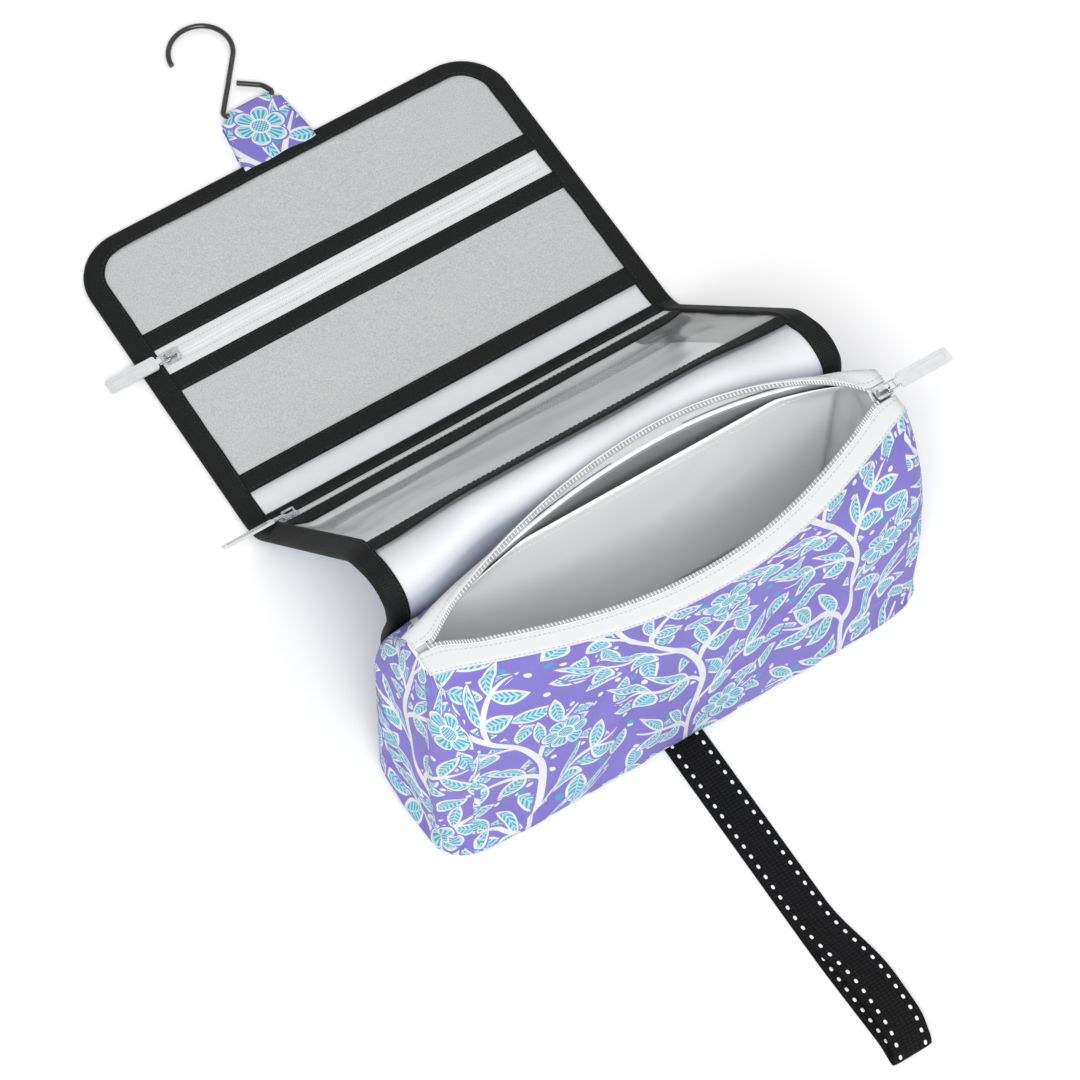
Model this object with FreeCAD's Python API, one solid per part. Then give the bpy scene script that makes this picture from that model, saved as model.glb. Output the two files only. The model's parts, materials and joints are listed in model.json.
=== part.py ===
"""Hanging toiletry bag, laid open on a table.

A fabric bag with a zipped mouth stands on its base.  A bound flap rises behind it to a ridge,
ramps down to the table and lies flat there, with a zipped window pocket on the ramp and a
zipped mesh pocket on the flat part.  A wire hook hangs from a fabric tab on the flap's far edge,
and a doubled webbing strap is sewn under the bag's front edge.

Frame: millimetres, +Z up, +X to the right, +Y from the bag towards the hook.
The origin is the centre of the bag's base, on the table.
"""
import math
import os

import FreeCAD, Part

V = FreeCAD.Vector

# ---- driving dimensions -------------------------------------------------------------------

# bag pouch
BAG_HALF_WIDTH = 157.0
BAG_FRONT_Y = -44.0
BAG_REAR_Y = 42.0
BAG_CORNER_R = 20.0
BAG_TOP_Z = 177.0
BAG_SHOULDER_Z = 112.0
BAG_FOOT_INSET = 7.0
OUTER_CLOTH = 1.6
LINING_CLOTH = 1.0
BASE_CURVE = ((0.0, BAG_FOOT_INSET), (2.5, 2.3), (10.0, 0.0))
BASE_BOARD_T = 2.0
BOARD_MARGIN = 1.0
BOARD_CORNER_R = 12.0
DIVIDER_HALF_WIDTH = 118.0
DIVIDER_T = 0.9
DIVIDER_BOW = 5.0
DIVIDER_Z = (10.6, 150.0)
CLOTH_GAP = 0.4

# zipped mouth: where each edge stands at the middle of the bag
MOUTH_HALF_WIDTH = 147.0
MOUTH_END_HALF_DEPTH = 13.0
FRONT_EDGE_MID = (-49.5, 166.0)
REAR_EDGE_MID = (41.0, 177.0)
FRONT_CHAIN_MID = (-37.0, 168.0)
REAR_CHAIN_MID = (41.5, 187.0)
CHAIN_END_X = 135.0
CHAIN_END_Y = 5.6
MOUTH_CORNER_R = 3.0
MOUTH_TAPE_T = 0.7
MOUTH_TAPE_LIFT = 0.5
MOUTH_CHAIN_RISE = (-0.6, 1.7)
END_TAPE_REACH = 1.5
END_TAPE_HALF_DEPTH = 12.5
END_TAPE_LIFT = (0.3, 1.3)
MOUTH_STATIONS = 14
DIP_CUT_Y = (-70.0, -8.0)
DIP_CUT_TOP = 200.0

# flap: width, cloth stack and binding
FLAP_HALF_WIDTH = 142.0
BINDING_WIDTH = 12.7
BINDING_WALL = 0.8
LAYER_T = 1.0
CORE_HALF_T = 1.5
FLAP_HALF_T = CORE_HALF_T + BINDING_WALL
FLAP_CORNER_R = 32.0

# flap: profile in the YZ plane, taken along the middle of its thickness
FOOT_Y = 203.0
FOOT_Z = FLAP_HALF_T
RAMP_DEG = 53.26
FOOT_R = 26.9
RAMP_START = 8.0
RAMP_END = 222.0
RIDGE_C = (56.0, 166.0)
RIDGE_R = 10.7
RIDGE_FABRIC_DEG = (44.0, 152.0)
REAR_LOW = (44.7, 3.0)
REAR_BEND = (44.7, 138.0)
REAR_TOP = (46.3, 163.5)

# heights above the middle of the flap, for what is sewn on its upper face
PANEL_LEVEL = (3.1, 3.9)
TAPE_LEVEL = (3.4, 3.9)
STRIP_LEVEL = (3.9, 4.7)

HEM_LEVEL = (CORE_HALF_T, STRIP_LEVEL[0])

# upper flap: where each piece lies along Y
UPPER_START_Y = 207.0
UPPER_END_Y = 405.5
BASE_STRIP_Y = (213.0, 225.7)
MESH_Y = (225.9, 299.8)
LOWER_STRIP_Y = (291.0, 303.7)
UPPER_TAPE_Y = (300.0, 327.0)
UPPER_STRIP_Y = (322.3, 335.0)
HEADER_Y = (327.2, 392.5)
UPPER_ZIP_Y = 313.5

# middle flap: where each piece lies, as a distance up the ramp from the foot fold
FOOT_STRIP_S = (12.5, 25.5)
RAMP_TAPE_S = (22.5, 44.0)
RAMP_ZIP_S = 33.2
WINDOW_STRIP_S = (41.0, 54.5)
WINDOW_S = (44.2, 208.0)
RIDGE_STRIP_S = (202.3, 215.0)

# zips
CHAIN_W = 4.6
CHAIN_LEVEL = (2.8, 4.6)
CHAIN_SPLIT = 0.35
FLAP_CHAIN_X = (-116.0, 124.0)
ZIP_GAP = 0.4
SLIDER_L = 9.5
SLIDER_W = 8.0
SLIDER_CORNER_R = 1.2
SLIDER_ROOM = 0.6
SLIDER_SINK = 2.4
PLATE_T = 0.6
WEB_X = (-2.0, 3.0)
WEB_HALF_T = 0.15
BRIDGE_X = (-3.6, 4.0)
BRIDGE_W = 2.2
BRIDGE_H = 2.2
BRIDGE_T = 0.8
BRIDGE_CORNER_R = 0.7
LINK_R = 0.5
LINK_HALF_GAP = 2.0
LINK_REACH = 6.0
PULL_L = 35.0
PULL_W = 9.0
PULL_T = 1.5
PULL_CORNER_R = 1.6
PULL_EYE_MARGIN = 1.4
PULL_WINDOW_START = 8.0
PULL_WINDOW_RIM = (3.0, 2.4)
PULL_WINDOW_DEPTH = 0.4
MAIN_SLIDER_X = 142.0
FLAP_SLIDER_X = -122.0

# tab and hook
TAB_T = 1.0
TAB_EDGE_X = (-22.0, 26.0)
TAB_LOOP_X = (-9.5, 17.0)
TAB_SHOULDER_Y = 433.0
TAB_SHOULDER_INSET = (6.0, 5.0)
TAB_SHOULDER_RISE = 3.0
TAB_GAP = 0.2
BAR_Y = 440.0
WIRE_R = 1.6
WIRE_Z = FLAP_HALF_T + 0.9
HOOK_C = (-1.3, 488.7)
HOOK_R = 19.3
HOOK_TIP_DEG = 177.0
HOOK_THROAT_DEG = -36.0
NECK = (1.8, 461.4)
BAR_LEFT_X = -15.2
BAR_RIGHT_X = 21.9
BAR_CORNER_R = 3.0
LEG_BEND = (17.8, 449.2)
LEG_BEND_R = 8.0
NECK_BEND_R = 30.0
LEG_GAP = (4.0, -3.0)

# strap
STRAP_W = 24.0
STRAP_T = 1.5
STRAP_X = -6.5
STRAP_ROOT_Y = -53.4
STRAP_END_Y = -265.5
STRAP_PART_Y = -176.0
STRAP_CREST_Y = -240.0
STRAP_LOOP_H = 9.6
STRAP_LAYER_GAP = 0.5
STRAP_ANCHOR_Y = (-50.8, -36.0)
STRAP_ANCHOR_T = 1.4

OUT = "parts"


# ---- small tools ----------------------------------------------------------------------------

def save(shape, name):
    """Write one sub-part, after checking that it is sound."""
    if not shape.isValid() or shape.Volume <= 0:
        raise RuntimeError("bad solid: " + name)
    shape.exportStep(os.path.join(OUT, name + ".step"))


def box(x, y, z):
    """A box from three (low, high) pairs."""
    return Part.makeBox(x[1] - x[0], y[1] - y[0], z[1] - z[0], V(x[0], y[0], z[0]))


def line(a, b):
    return Part.LineSegment(a, b).toShape()


def arc(a, b, c):
    return Part.Arc(a, b, c).toShape()


def extrude_x(edges, x):
    """Extrude a closed outline in the YZ plane from x[0] to x[1]."""
    face = Part.Face(Part.Wire(edges))
    solid = face.extrude(V(x[1] - x[0], 0, 0))
    solid.translate(V(x[0], 0, 0))
    return solid


def polygon(points):
    return Part.makePolygon(points + [points[0]])


def group(shapes):
    """Separate solids that share one node."""
    return Part.makeCompound(shapes)


def mirrored(shape):
    """The shape and its mirror image across the YZ plane."""
    return group([shape, shape.mirror(V(0, 0, 0), V(1, 0, 0))])


def sections_along_x(sections):
    """A ruled solid through four-cornered sections."""
    return Part.makeLoft([polygon(points) for points in sections], True, True)


# ---- the flap's profile ---------------------------------------------------------------------

RAMP_RAD = math.radians(RAMP_DEG)
FOOT_ARC_LEN = FOOT_R * RAMP_RAD


def ramp_point(s, n, x=0.0):
    """The point at distance s up the ramp from the foot fold, n above the flap's middle."""
    turn = min(s / FOOT_R, RAMP_RAD)
    r = FOOT_R - n
    y = FOOT_Y - r * math.sin(turn)
    z = FOOT_Z + FOOT_R - r * math.cos(turn)
    run = max(s - FOOT_ARC_LEN, 0.0)
    return V(x, y - run * math.cos(RAMP_RAD), z + run * math.sin(RAMP_RAD))


def ramp_edges(s0, s1, n):
    """The line of constant height n between two places on the ramp, from s0 to s1."""
    edges = []
    if s0 < FOOT_ARC_LEN:
        end = min(s1, FOOT_ARC_LEN)
        edges.append(arc(ramp_point(s0, n), ramp_point((s0 + end) / 2, n), ramp_point(end, n)))
    if s1 > FOOT_ARC_LEN:
        start = max(s0, FOOT_ARC_LEN)
        edges.append(line(ramp_point(start, n), ramp_point(s1, n)))
    return edges


def ramp_slab(s, n, x):
    """A layer that follows the ramp, between two distances, two heights and two widths."""
    edges = ramp_edges(s[0], s[1], n[0]) + [line(ramp_point(s[1], n[0]), ramp_point(s[1], n[1]))]
    edges += ramp_edges(s[0], s[1], n[1])
    edges.append(line(ramp_point(s[0], n[1]), ramp_point(s[0], n[0])))
    return extrude_x(Part.__sortEdges__(edges), x)


def rear_point(k, n):
    """Corner k of the rear flap's profile, moved n towards the bag."""
    points = [REAR_LOW, REAR_BEND, REAR_TOP]
    lean = math.atan2(REAR_TOP[0] - REAR_BEND[0], REAR_TOP[1] - REAR_BEND[1])
    tilt = [0.0, lean / 2, lean][k]
    stretch = 1 / math.cos(lean / 2) if k == 1 else 1.0
    y = points[k][0] - n * stretch * math.cos(tilt)
    z = points[k][1] + n * stretch * math.sin(tilt)
    return V(0, y, z)


def rear_slab(n, x):
    """A layer that follows the rear flap, between two heights and two widths."""
    points = [rear_point(0, n[0]), rear_point(1, n[0]), rear_point(2, n[0]),
              rear_point(2, n[1]), rear_point(1, n[1]), rear_point(0, n[1])]
    return extrude_x(polygon(points).Edges, x)


def inside(half_width, margin):
    return (-half_width + margin, half_width - margin)


CORE_X = inside(FLAP_HALF_WIDTH, BINDING_WALL)
CLEAR_X = inside(FLAP_HALF_WIDTH, BINDING_WIDTH + 0.3)
CLOTH_LEVELS = {
    "outer": (-CORE_HALF_T, -CORE_HALF_T + LAYER_T),
    "foam": (-CORE_HALF_T + LAYER_T, CORE_HALF_T - LAYER_T),
    "lining": (CORE_HALF_T - LAYER_T, CORE_HALF_T),
}


# ---- bag pouch ------------------------------------------------------------------------------

def rounded_outline(half_x, y0, y1, r, z):
    """A rounded rectangle of eight edges, starting with its front side."""
    k = r * (1 - math.sqrt(0.5))
    corners = [(half_x, y0, 1, -1), (half_x, y1, 1, 1), (-half_x, y1, -1, 1), (-half_x, y0, -1, -1)]
    edges = []
    last = V(-half_x + r, y0, z)
    for i, (x, y, sx, sy) in enumerate(corners):
        along_x = V(x - sx * r, y, z)
        along_y = V(x, y - sy * r, z)
        first, second = (along_x, along_y) if i % 2 == 0 else (along_y, along_x)
        edges.append(line(last, first))
        edges.append(arc(first, V(x - sx * k, y - sy * k, z), second))
        last = second
    return Part.Wire(edges)


def mouth_outline(inset, z):
    """The lens-shaped top of the bag, of eight edges in the same order as rounded_outline."""
    half = MOUTH_HALF_WIDTH - inset
    depth = MOUTH_END_HALF_DEPTH - inset
    soft = MOUTH_CORNER_R
    front = FRONT_EDGE_MID[0] + inset
    rear = REAR_EDGE_MID[0] - inset
    k = soft * (1 - math.sqrt(0.5))

    def corner(sx, sy):
        along_arc = V(sx * (half - soft), sy * depth, z)
        along_end = V(sx * half, sy * (depth - soft), z)
        return along_arc, V(sx * (half - k), sy * (depth - k), z), along_end

    fr, rr, rl, fl = corner(1, -1), corner(1, 1), corner(-1, 1), corner(-1, -1)
    return Part.Wire([
        arc(fl[0], V(0, front, z), fr[0]), arc(*fr), line(fr[2], rr[2]), arc(rr[2], rr[1], rr[0]),
        arc(rr[0], V(0, rear, z), rl[0]), arc(*rl), line(rl[2], fl[2]), arc(fl[2], fl[1], fl[0])])


def pouch_solid(inset):
    """The bag's full shape, drawn in by inset from its outer face."""
    def at(z, extra):
        d = inset + extra
        r = max(BAG_CORNER_R - d, 4.0)
        return rounded_outline(BAG_HALF_WIDTH - d, BAG_FRONT_Y + d, BAG_REAR_Y - d, r, z)

    foot = [at(inset + height, extra) for height, extra in BASE_CURVE]
    return Part.makeLoft(foot + [at(BAG_SHOULDER_Z, 0.0), mouth_outline(inset, BAG_TOP_Z)], True, True)


def sag(x, half):
    """1 in the middle of the bag and 0 at x = half, as an arch."""
    return 1 - (x / half) ** 2


def front_dip():
    """What is cut away above the front wall, which sags in the middle."""
    front, back = DIP_CUT_Y
    reach = BAG_HALF_WIDTH + 1
    sections = []
    for i in range(MOUTH_STATIONS + 1):
        x = -reach + 2 * reach * i / MOUTH_STATIONS
        z = BAG_TOP_Z - (BAG_TOP_Z - FRONT_EDGE_MID[1]) * max(sag(x, MOUTH_HALF_WIDTH), 0)
        sections.append([V(x, front, z), V(x, back, z), V(x, back, DIP_CUT_TOP), V(x, front, DIP_CUT_TOP)])
    return sections_along_x(sections)


def panel_spaces():
    """The space that each sewn panel of the pouch takes up."""
    seam_x = BAG_HALF_WIDTH - BAG_CORNER_R
    far = 2 * BAG_HALF_WIDTH
    base_z = OUTER_CLOTH + LINING_CLOTH
    walls = (base_z, BAG_TOP_Z + 1)
    return {
        "pouch_base": box((-far, far), (-far, far), (-1, base_z)),
        "pouch_front": box((-seam_x, seam_x), (-far, 0), walls),
        "pouch_rear": box((-seam_x, seam_x), (0, far), walls),
        "pouch_left_end": box((-far, -seam_x), (-far, far), walls),
        "pouch_right_end": box((seam_x, far), (-far, far), walls),
    }


def make_pouch():
    dip = front_dip()
    outer = pouch_solid(0.0)
    middle = pouch_solid(OUTER_CLOTH)
    inner = pouch_solid(OUTER_CLOTH + LINING_CLOTH)
    way_half = SLIDER_W / 2 + SLIDER_ROOM
    slider_way = box((-BAG_HALF_WIDTH, BAG_HALF_WIDTH), (-way_half, way_half),
                     (BAG_TOP_Z - SLIDER_SINK, BAG_TOP_Z + 1))
    open_top = dip.fuse(slider_way)
    cloth = outer.cut(middle).cut(open_top)
    for name, space in panel_spaces().items():
        save(cloth.common(space), name)
    save(middle.cut(inner).cut(open_top), "pouch_lining")
    floor_z = OUTER_CLOTH + LINING_CLOTH
    inset = floor_z + BAG_FOOT_INSET + BOARD_MARGIN
    board = rounded_outline(BAG_HALF_WIDTH - inset, BAG_FRONT_Y + inset, BAG_REAR_Y - inset,
                            BOARD_CORNER_R, floor_z)
    save(Part.Face(board).extrude(V(0, 0, BASE_BOARD_T)), "base_board")


def make_divider():
    """A lining panel in front of the rear wall, bowed forwards, that makes a flat rear pocket."""
    half = DIVIDER_HALF_WIDTH
    low, high = DIVIDER_Z
    rear = BAG_REAR_Y - OUTER_CLOTH - LINING_CLOTH - CLOTH_GAP
    edges = []
    for y in (rear, rear - DIVIDER_T):
        edges.append(arc(V(-half, y, low), V(0, y - DIVIDER_BOW, low), V(half, y, low)))
    for x in (-half, half):
        edges.append(line(V(x, rear, low), V(x, rear - DIVIDER_T, low)))
    face = Part.Face(Part.Wire(Part.__sortEdges__(edges)))
    room = pouch_solid(OUTER_CLOTH + LINING_CLOTH + CLOTH_GAP)
    save(face.extrude(V(0, 0, high - low)).common(room), "inner_divider")


# ---- main zip -------------------------------------------------------------------------------

def mouth_curve(x, mid, end_y, half):
    """A point on one edge of the mouth."""
    lift = sag(x, half)
    side = -1 if mid[0] < 0 else 1
    y = side * end_y + (mid[0] - side * end_y) * lift
    return y, BAG_TOP_Z + (mid[1] - BAG_TOP_Z) * lift


def make_mouth_side(name, edge_mid, chain_mid):
    """One zip tape and its row of teeth, from end to end of the mouth."""
    side = -1 if edge_mid[0] < 0 else 1
    tooth_half = CHAIN_W / 4
    low, high = MOUTH_CHAIN_RISE
    tape = []
    chain = []
    for i in range(MOUTH_STATIONS + 1):
        x = -CHAIN_END_X + 2 * CHAIN_END_X * i / MOUTH_STATIONS
        ye, ze = mouth_curve(x, edge_mid, MOUTH_END_HALF_DEPTH, MOUTH_HALF_WIDTH)
        yc, zc = mouth_curve(x, chain_mid, CHAIN_END_Y, CHAIN_END_X)
        sewn = V(x, ye, ze + MOUTH_TAPE_LIFT)
        free = V(x, yc + side * (tooth_half + ZIP_GAP / 2), zc + MOUTH_TAPE_LIFT)
        through = (free - sewn).cross(V(side, 0, 0)).normalize() * MOUTH_TAPE_T
        tape.append([sewn, free, free + through, sewn + through])
        chain.append([V(x, yc - tooth_half, zc + low), V(x, yc + tooth_half, zc + low),
                      V(x, yc + tooth_half, zc + high), V(x, yc - tooth_half, zc + high)])
    save(sections_along_x(tape), name + "_zip_tape")
    save(sections_along_x(chain), name + "_zip_chain")


def make_main_zip():
    make_mouth_side("front", FRONT_EDGE_MID, FRONT_CHAIN_MID)
    make_mouth_side("rear", REAR_EDGE_MID, REAR_CHAIN_MID)
    depth = END_TAPE_HALF_DEPTH
    levels = (BAG_TOP_Z + END_TAPE_LIFT[0], BAG_TOP_Z + END_TAPE_LIFT[1])
    patch = box((CHAIN_END_X + 0.5, MOUTH_HALF_WIDTH + END_TAPE_REACH), (-depth, depth), levels)
    slot_half = SLIDER_W / 2 + SLIDER_ROOM
    slot_end = MAIN_SLIDER_X + SLIDER_L / 2 + 2 * SLIDER_ROOM
    slot = box((CHAIN_END_X, slot_end), (-slot_half, slot_half), (BAG_TOP_Z, BAG_TOP_Z + 2))
    save(mirrored(patch.cut(slot)), "main_zip_end_tapes")


# ---- sliders and pulls ----------------------------------------------------------------------

def slider_body():
    """A zip slider with the pull towards +x, the zip along y = 0 and the flap's middle at z = 0.

    Two plates with turned-in sides are joined by a thin web that runs between the two rows
    of teeth, and the tapes run out through the slots in the sides.
    """
    half_l = SLIDER_L / 2
    half_w = SLIDER_W / 2
    channel = CHAIN_W / 2 + ZIP_GAP
    low = CHAIN_LEVEL[0] - ZIP_GAP - PLATE_T
    high = CHAIN_LEVEL[1] + ZIP_GAP + PLATE_T
    body = box((-half_l, half_l), (-half_w, half_w), (low, high))
    uprights = [e for e in body.Edges if abs(e.tangentAt(e.FirstParameter).z) > 0.9]
    body = body.makeFillet(SLIDER_CORNER_R, uprights)
    room = box((-half_l - 1, half_l + 1), (-channel, channel), (low + PLATE_T, high - PLATE_T))
    slot = box((-half_l - 1, half_l + 1), (-half_w - 1, half_w + 1),
               (TAPE_LEVEL[0] - ZIP_GAP, TAPE_LEVEL[1] + ZIP_GAP))
    web = box(WEB_X, (-WEB_HALF_T, WEB_HALF_T), (low + PLATE_T, high - PLATE_T))
    return body.cut(room.fuse(slot)).fuse(web).removeSplitter()


SLIDER_TOP = CHAIN_LEVEL[1] + ZIP_GAP + PLATE_T
PIVOT_X = 2.6
PIVOT_Z = SLIDER_TOP + LINK_R + 0.45


def slider_bridge():
    """The small arch on top of the slider that holds the pull's link."""
    under = SLIDER_TOP + BRIDGE_H
    outer = box(BRIDGE_X, (-BRIDGE_W / 2, BRIDGE_W / 2), (SLIDER_TOP, under + BRIDGE_T))
    opening = (BRIDGE_X[0] + BRIDGE_T, BRIDGE_X[1] - BRIDGE_T)
    inner = box(opening, (-BRIDGE_W, BRIDGE_W), (SLIDER_TOP - 1, under))
    tops = [e for e in outer.Edges
            if abs(e.tangentAt(e.FirstParameter).y) > 0.9 and e.CenterOfMass.z > SLIDER_TOP + 1]
    return outer.makeFillet(BRIDGE_CORNER_R, tops).cut(inner)


def pull_link():
    """A wire frame: one bar under the bridge, one bar through the pull's eye."""
    side = LINK_HALF_GAP + LINK_R
    near, far = PIVOT_X, PIVOT_X + LINK_REACH
    length = 2 * side

    def rod(start, direction, size):
        return Part.makeCylinder(LINK_R, size, start, direction)

    shape = rod(V(near, -side, PIVOT_Z), V(0, 1, 0), length)
    shape = shape.fuse(rod(V(far, -side, PIVOT_Z), V(0, 1, 0), length))
    for y in (-side, side):
        shape = shape.fuse(rod(V(near, y, PIVOT_Z), V(1, 0, 0), LINK_REACH))
        shape = shape.fuse(Part.makeSphere(LINK_R, V(near, y, PIVOT_Z)))
        shape = shape.fuse(Part.makeSphere(LINK_R, V(far, y, PIVOT_Z)))
    return shape


def pull_tab():
    """A moulded pull with an eye for the link and a sunk window on its upper face."""
    eye_x = PIVOT_X + LINK_REACH
    start = eye_x - PULL_EYE_MARGIN
    end = start + PULL_L
    neck_half = LINK_HALF_GAP - 0.3
    faces = (PIVOT_Z - PULL_T / 2, PIVOT_Z + PULL_T / 2)
    neck = box((start, eye_x + 2.0), (-neck_half, neck_half), faces)
    body = box((eye_x + PULL_EYE_MARGIN, end), (-PULL_W / 2, PULL_W / 2), faces)
    uprights = [e for e in body.Edges if abs(e.tangentAt(e.FirstParameter).z) > 0.9]
    body = body.makeFillet(PULL_CORNER_R, uprights)
    window_half = PULL_W / 2 - PULL_WINDOW_RIM[1]
    window = box((eye_x + PULL_WINDOW_START, end - PULL_WINDOW_RIM[0]), (-window_half, window_half),
                 (faces[1] - PULL_WINDOW_DEPTH, faces[1] + 1))
    eye = Part.makeCylinder(LINK_R + 0.15, 3 * PULL_W, V(eye_x, -1.5 * PULL_W, PIVOT_Z), V(0, 1, 0))
    return neck.fuse(body).cut(window).cut(eye).removeSplitter()


def place_on_flap(shape, mirror_x, origin, tilt_deg):
    """Turn a zip piece round so that its pull points to -x, tilt it about X and move it."""
    copy = shape.copy()
    if mirror_x:
        copy.rotate(V(0, 0, 0), V(0, 0, 1), 180)
    copy.rotate(V(0, 0, 0), V(1, 0, 0), tilt_deg)
    copy.translate(origin)
    return copy


def make_sliders():
    main_level = BAG_TOP_Z - TAPE_LEVEL[0]
    places = {
        "main": (False, V(MAIN_SLIDER_X, 0, main_level), 0.0),
        "upper": (True, V(FLAP_SLIDER_X, UPPER_ZIP_Y, FOOT_Z), 0.0),
        "lower": (True, ramp_point(RAMP_ZIP_S, 0, FLAP_SLIDER_X), -RAMP_DEG),
    }
    for name, place in places.items():
        save(place_on_flap(slider_body(), *place), name + "_slider_body")
        save(place_on_flap(slider_bridge(), *place), name + "_slider_bridge")
        save(place_on_flap(pull_link(), *place), name + "_pull_link")
        save(place_on_flap(pull_tab(), *place), name + "_pull_tab")


def chain_rows():
    """The two rows of teeth of a closed zip on the flap, along X with the zip at y = 0."""
    length = FLAP_CHAIN_X[1] - FLAP_CHAIN_X[0]
    rows = [(-CHAIN_W / 2, -CHAIN_SPLIT), (CHAIN_SPLIT, CHAIN_W / 2)]
    return group([box((0, length), row, CHAIN_LEVEL) for row in rows])


# ---- flap -----------------------------------------------------------------------------------

def make_rear_flap():
    for layer, level in CLOTH_LEVELS.items():
        save(rear_slab(level, CORE_X), "rear_flap_" + layer)
    whole = rear_slab((-FLAP_HALF_T, FLAP_HALF_T), inside(FLAP_HALF_WIDTH, 0))
    core = rear_slab((-CORE_HALF_T, CORE_HALF_T), CORE_X)
    middle = rear_slab((-FLAP_HALF_T - 1, FLAP_HALF_T + 1), inside(FLAP_HALF_WIDTH, BINDING_WIDTH))
    save(whole.cut(core).cut(middle), "rear_flap_bindings")


def make_ridge():
    """The cloth that bends over the ridge between the rear flap and the ramp."""
    cy, cz = RIDGE_C

    def at(r, deg):
        return V(0, cy + r * math.cos(math.radians(deg)), cz + r * math.sin(math.radians(deg)))

    a, b = RIDGE_FABRIC_DEG
    edges = []
    for r in (RIDGE_R - CORE_HALF_T, RIDGE_R + CORE_HALF_T):
        edges.append(arc(at(r, a), at(r, (a + b) / 2), at(r, b)))
    for deg in (a, b):
        edges.append(line(at(RIDGE_R - CORE_HALF_T, deg), at(RIDGE_R + CORE_HALF_T, deg)))
    save(extrude_x(Part.__sortEdges__(edges), CORE_X), "ridge_fold_fabric")


def make_middle_flap():
    run = (RAMP_START, RAMP_END)
    for layer, level in CLOTH_LEVELS.items():
        save(ramp_slab(run, level, CORE_X), "middle_flap_" + layer)
    whole = ramp_slab(run, (-FLAP_HALF_T, FLAP_HALF_T), inside(FLAP_HALF_WIDTH, 0))
    core = ramp_slab(run, (-CORE_HALF_T, CORE_HALF_T), CORE_X)
    middle = ramp_slab(run, (-FLAP_HALF_T - 1, FLAP_HALF_T + 1), inside(FLAP_HALF_WIDTH, BINDING_WIDTH))
    save(whole.cut(core).cut(middle), "middle_flap_bindings")

    foot_strip = ramp_slab(FOOT_STRIP_S, STRIP_LEVEL, CLEAR_X)
    foot_hem = ramp_slab((FOOT_STRIP_S[0], RAMP_TAPE_S[0] - 0.2), HEM_LEVEL, CLEAR_X)
    save(foot_strip.fuse(foot_hem), "window_zip_foot_strip")
    save(ramp_slab(WINDOW_STRIP_S, STRIP_LEVEL, CLEAR_X), "window_zip_edge_strip")
    save(ramp_slab(WINDOW_S, PANEL_LEVEL, CLEAR_X), "clear_window")
    ridge_strip = ramp_slab(RIDGE_STRIP_S, STRIP_LEVEL, CLEAR_X)
    ridge_hem = ramp_slab((WINDOW_S[1] + 0.2, RIDGE_STRIP_S[1]), HEM_LEVEL, CLEAR_X)
    save(ridge_strip.fuse(ridge_hem), "ridge_strip")
    chain_half = CHAIN_W / 2 + 0.1
    rows = [(RAMP_TAPE_S[0], RAMP_ZIP_S - chain_half), (RAMP_ZIP_S + chain_half, RAMP_TAPE_S[1])]
    save(group([ramp_slab(row, TAPE_LEVEL, CLEAR_X) for row in rows]), "window_zip_tapes")
    place = (False, ramp_point(RAMP_ZIP_S, 0, FLAP_CHAIN_X[0]), -RAMP_DEG)
    save(place_on_flap(chain_rows(), *place), "window_zip_chain")


def make_foot_fold():
    """The cloth that bends at the foot of the ramp, between the middle and upper flaps."""
    ramp_side = ramp_slab((0.0, RAMP_START - 0.4), (-CORE_HALF_T, CORE_HALF_T), CORE_X)
    flat_side = box(CORE_X, (FOOT_Y, UPPER_START_Y - 0.4), (FOOT_Z - CORE_HALF_T, FOOT_Z + CORE_HALF_T))
    save(ramp_side.fuse(flat_side).removeSplitter(), "foot_fold_fabric")


def flat_sheet(margin, z):
    """The upper flap's outline with rounded far corners, drawn in by margin."""
    half = FLAP_HALF_WIDTH - margin
    y1 = UPPER_END_Y - margin
    r = FLAP_CORNER_R - margin
    y0 = UPPER_START_Y
    k = r * (1 - math.sqrt(0.5))
    edges = [
        line(V(-half, y0, z[0]), V(half, y0, z[0])),
        line(V(half, y0, z[0]), V(half, y1 - r, z[0])),
        arc(V(half, y1 - r, z[0]), V(half - k, y1 - k, z[0]), V(half - r, y1, z[0])),
        line(V(half - r, y1, z[0]), V(-half + r, y1, z[0])),
        arc(V(-half + r, y1, z[0]), V(-half + k, y1 - k, z[0]), V(-half, y1 - r, z[0])),
        line(V(-half, y1 - r, z[0]), V(-half, y0, z[0])),
    ]
    return Part.Face(Part.Wire(edges)).extrude(V(0, 0, z[1] - z[0]))


def above(level):
    """Heights above the flap's middle, turned into Z on the flat upper flap."""
    return (FOOT_Z + level[0], FOOT_Z + level[1])


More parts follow.
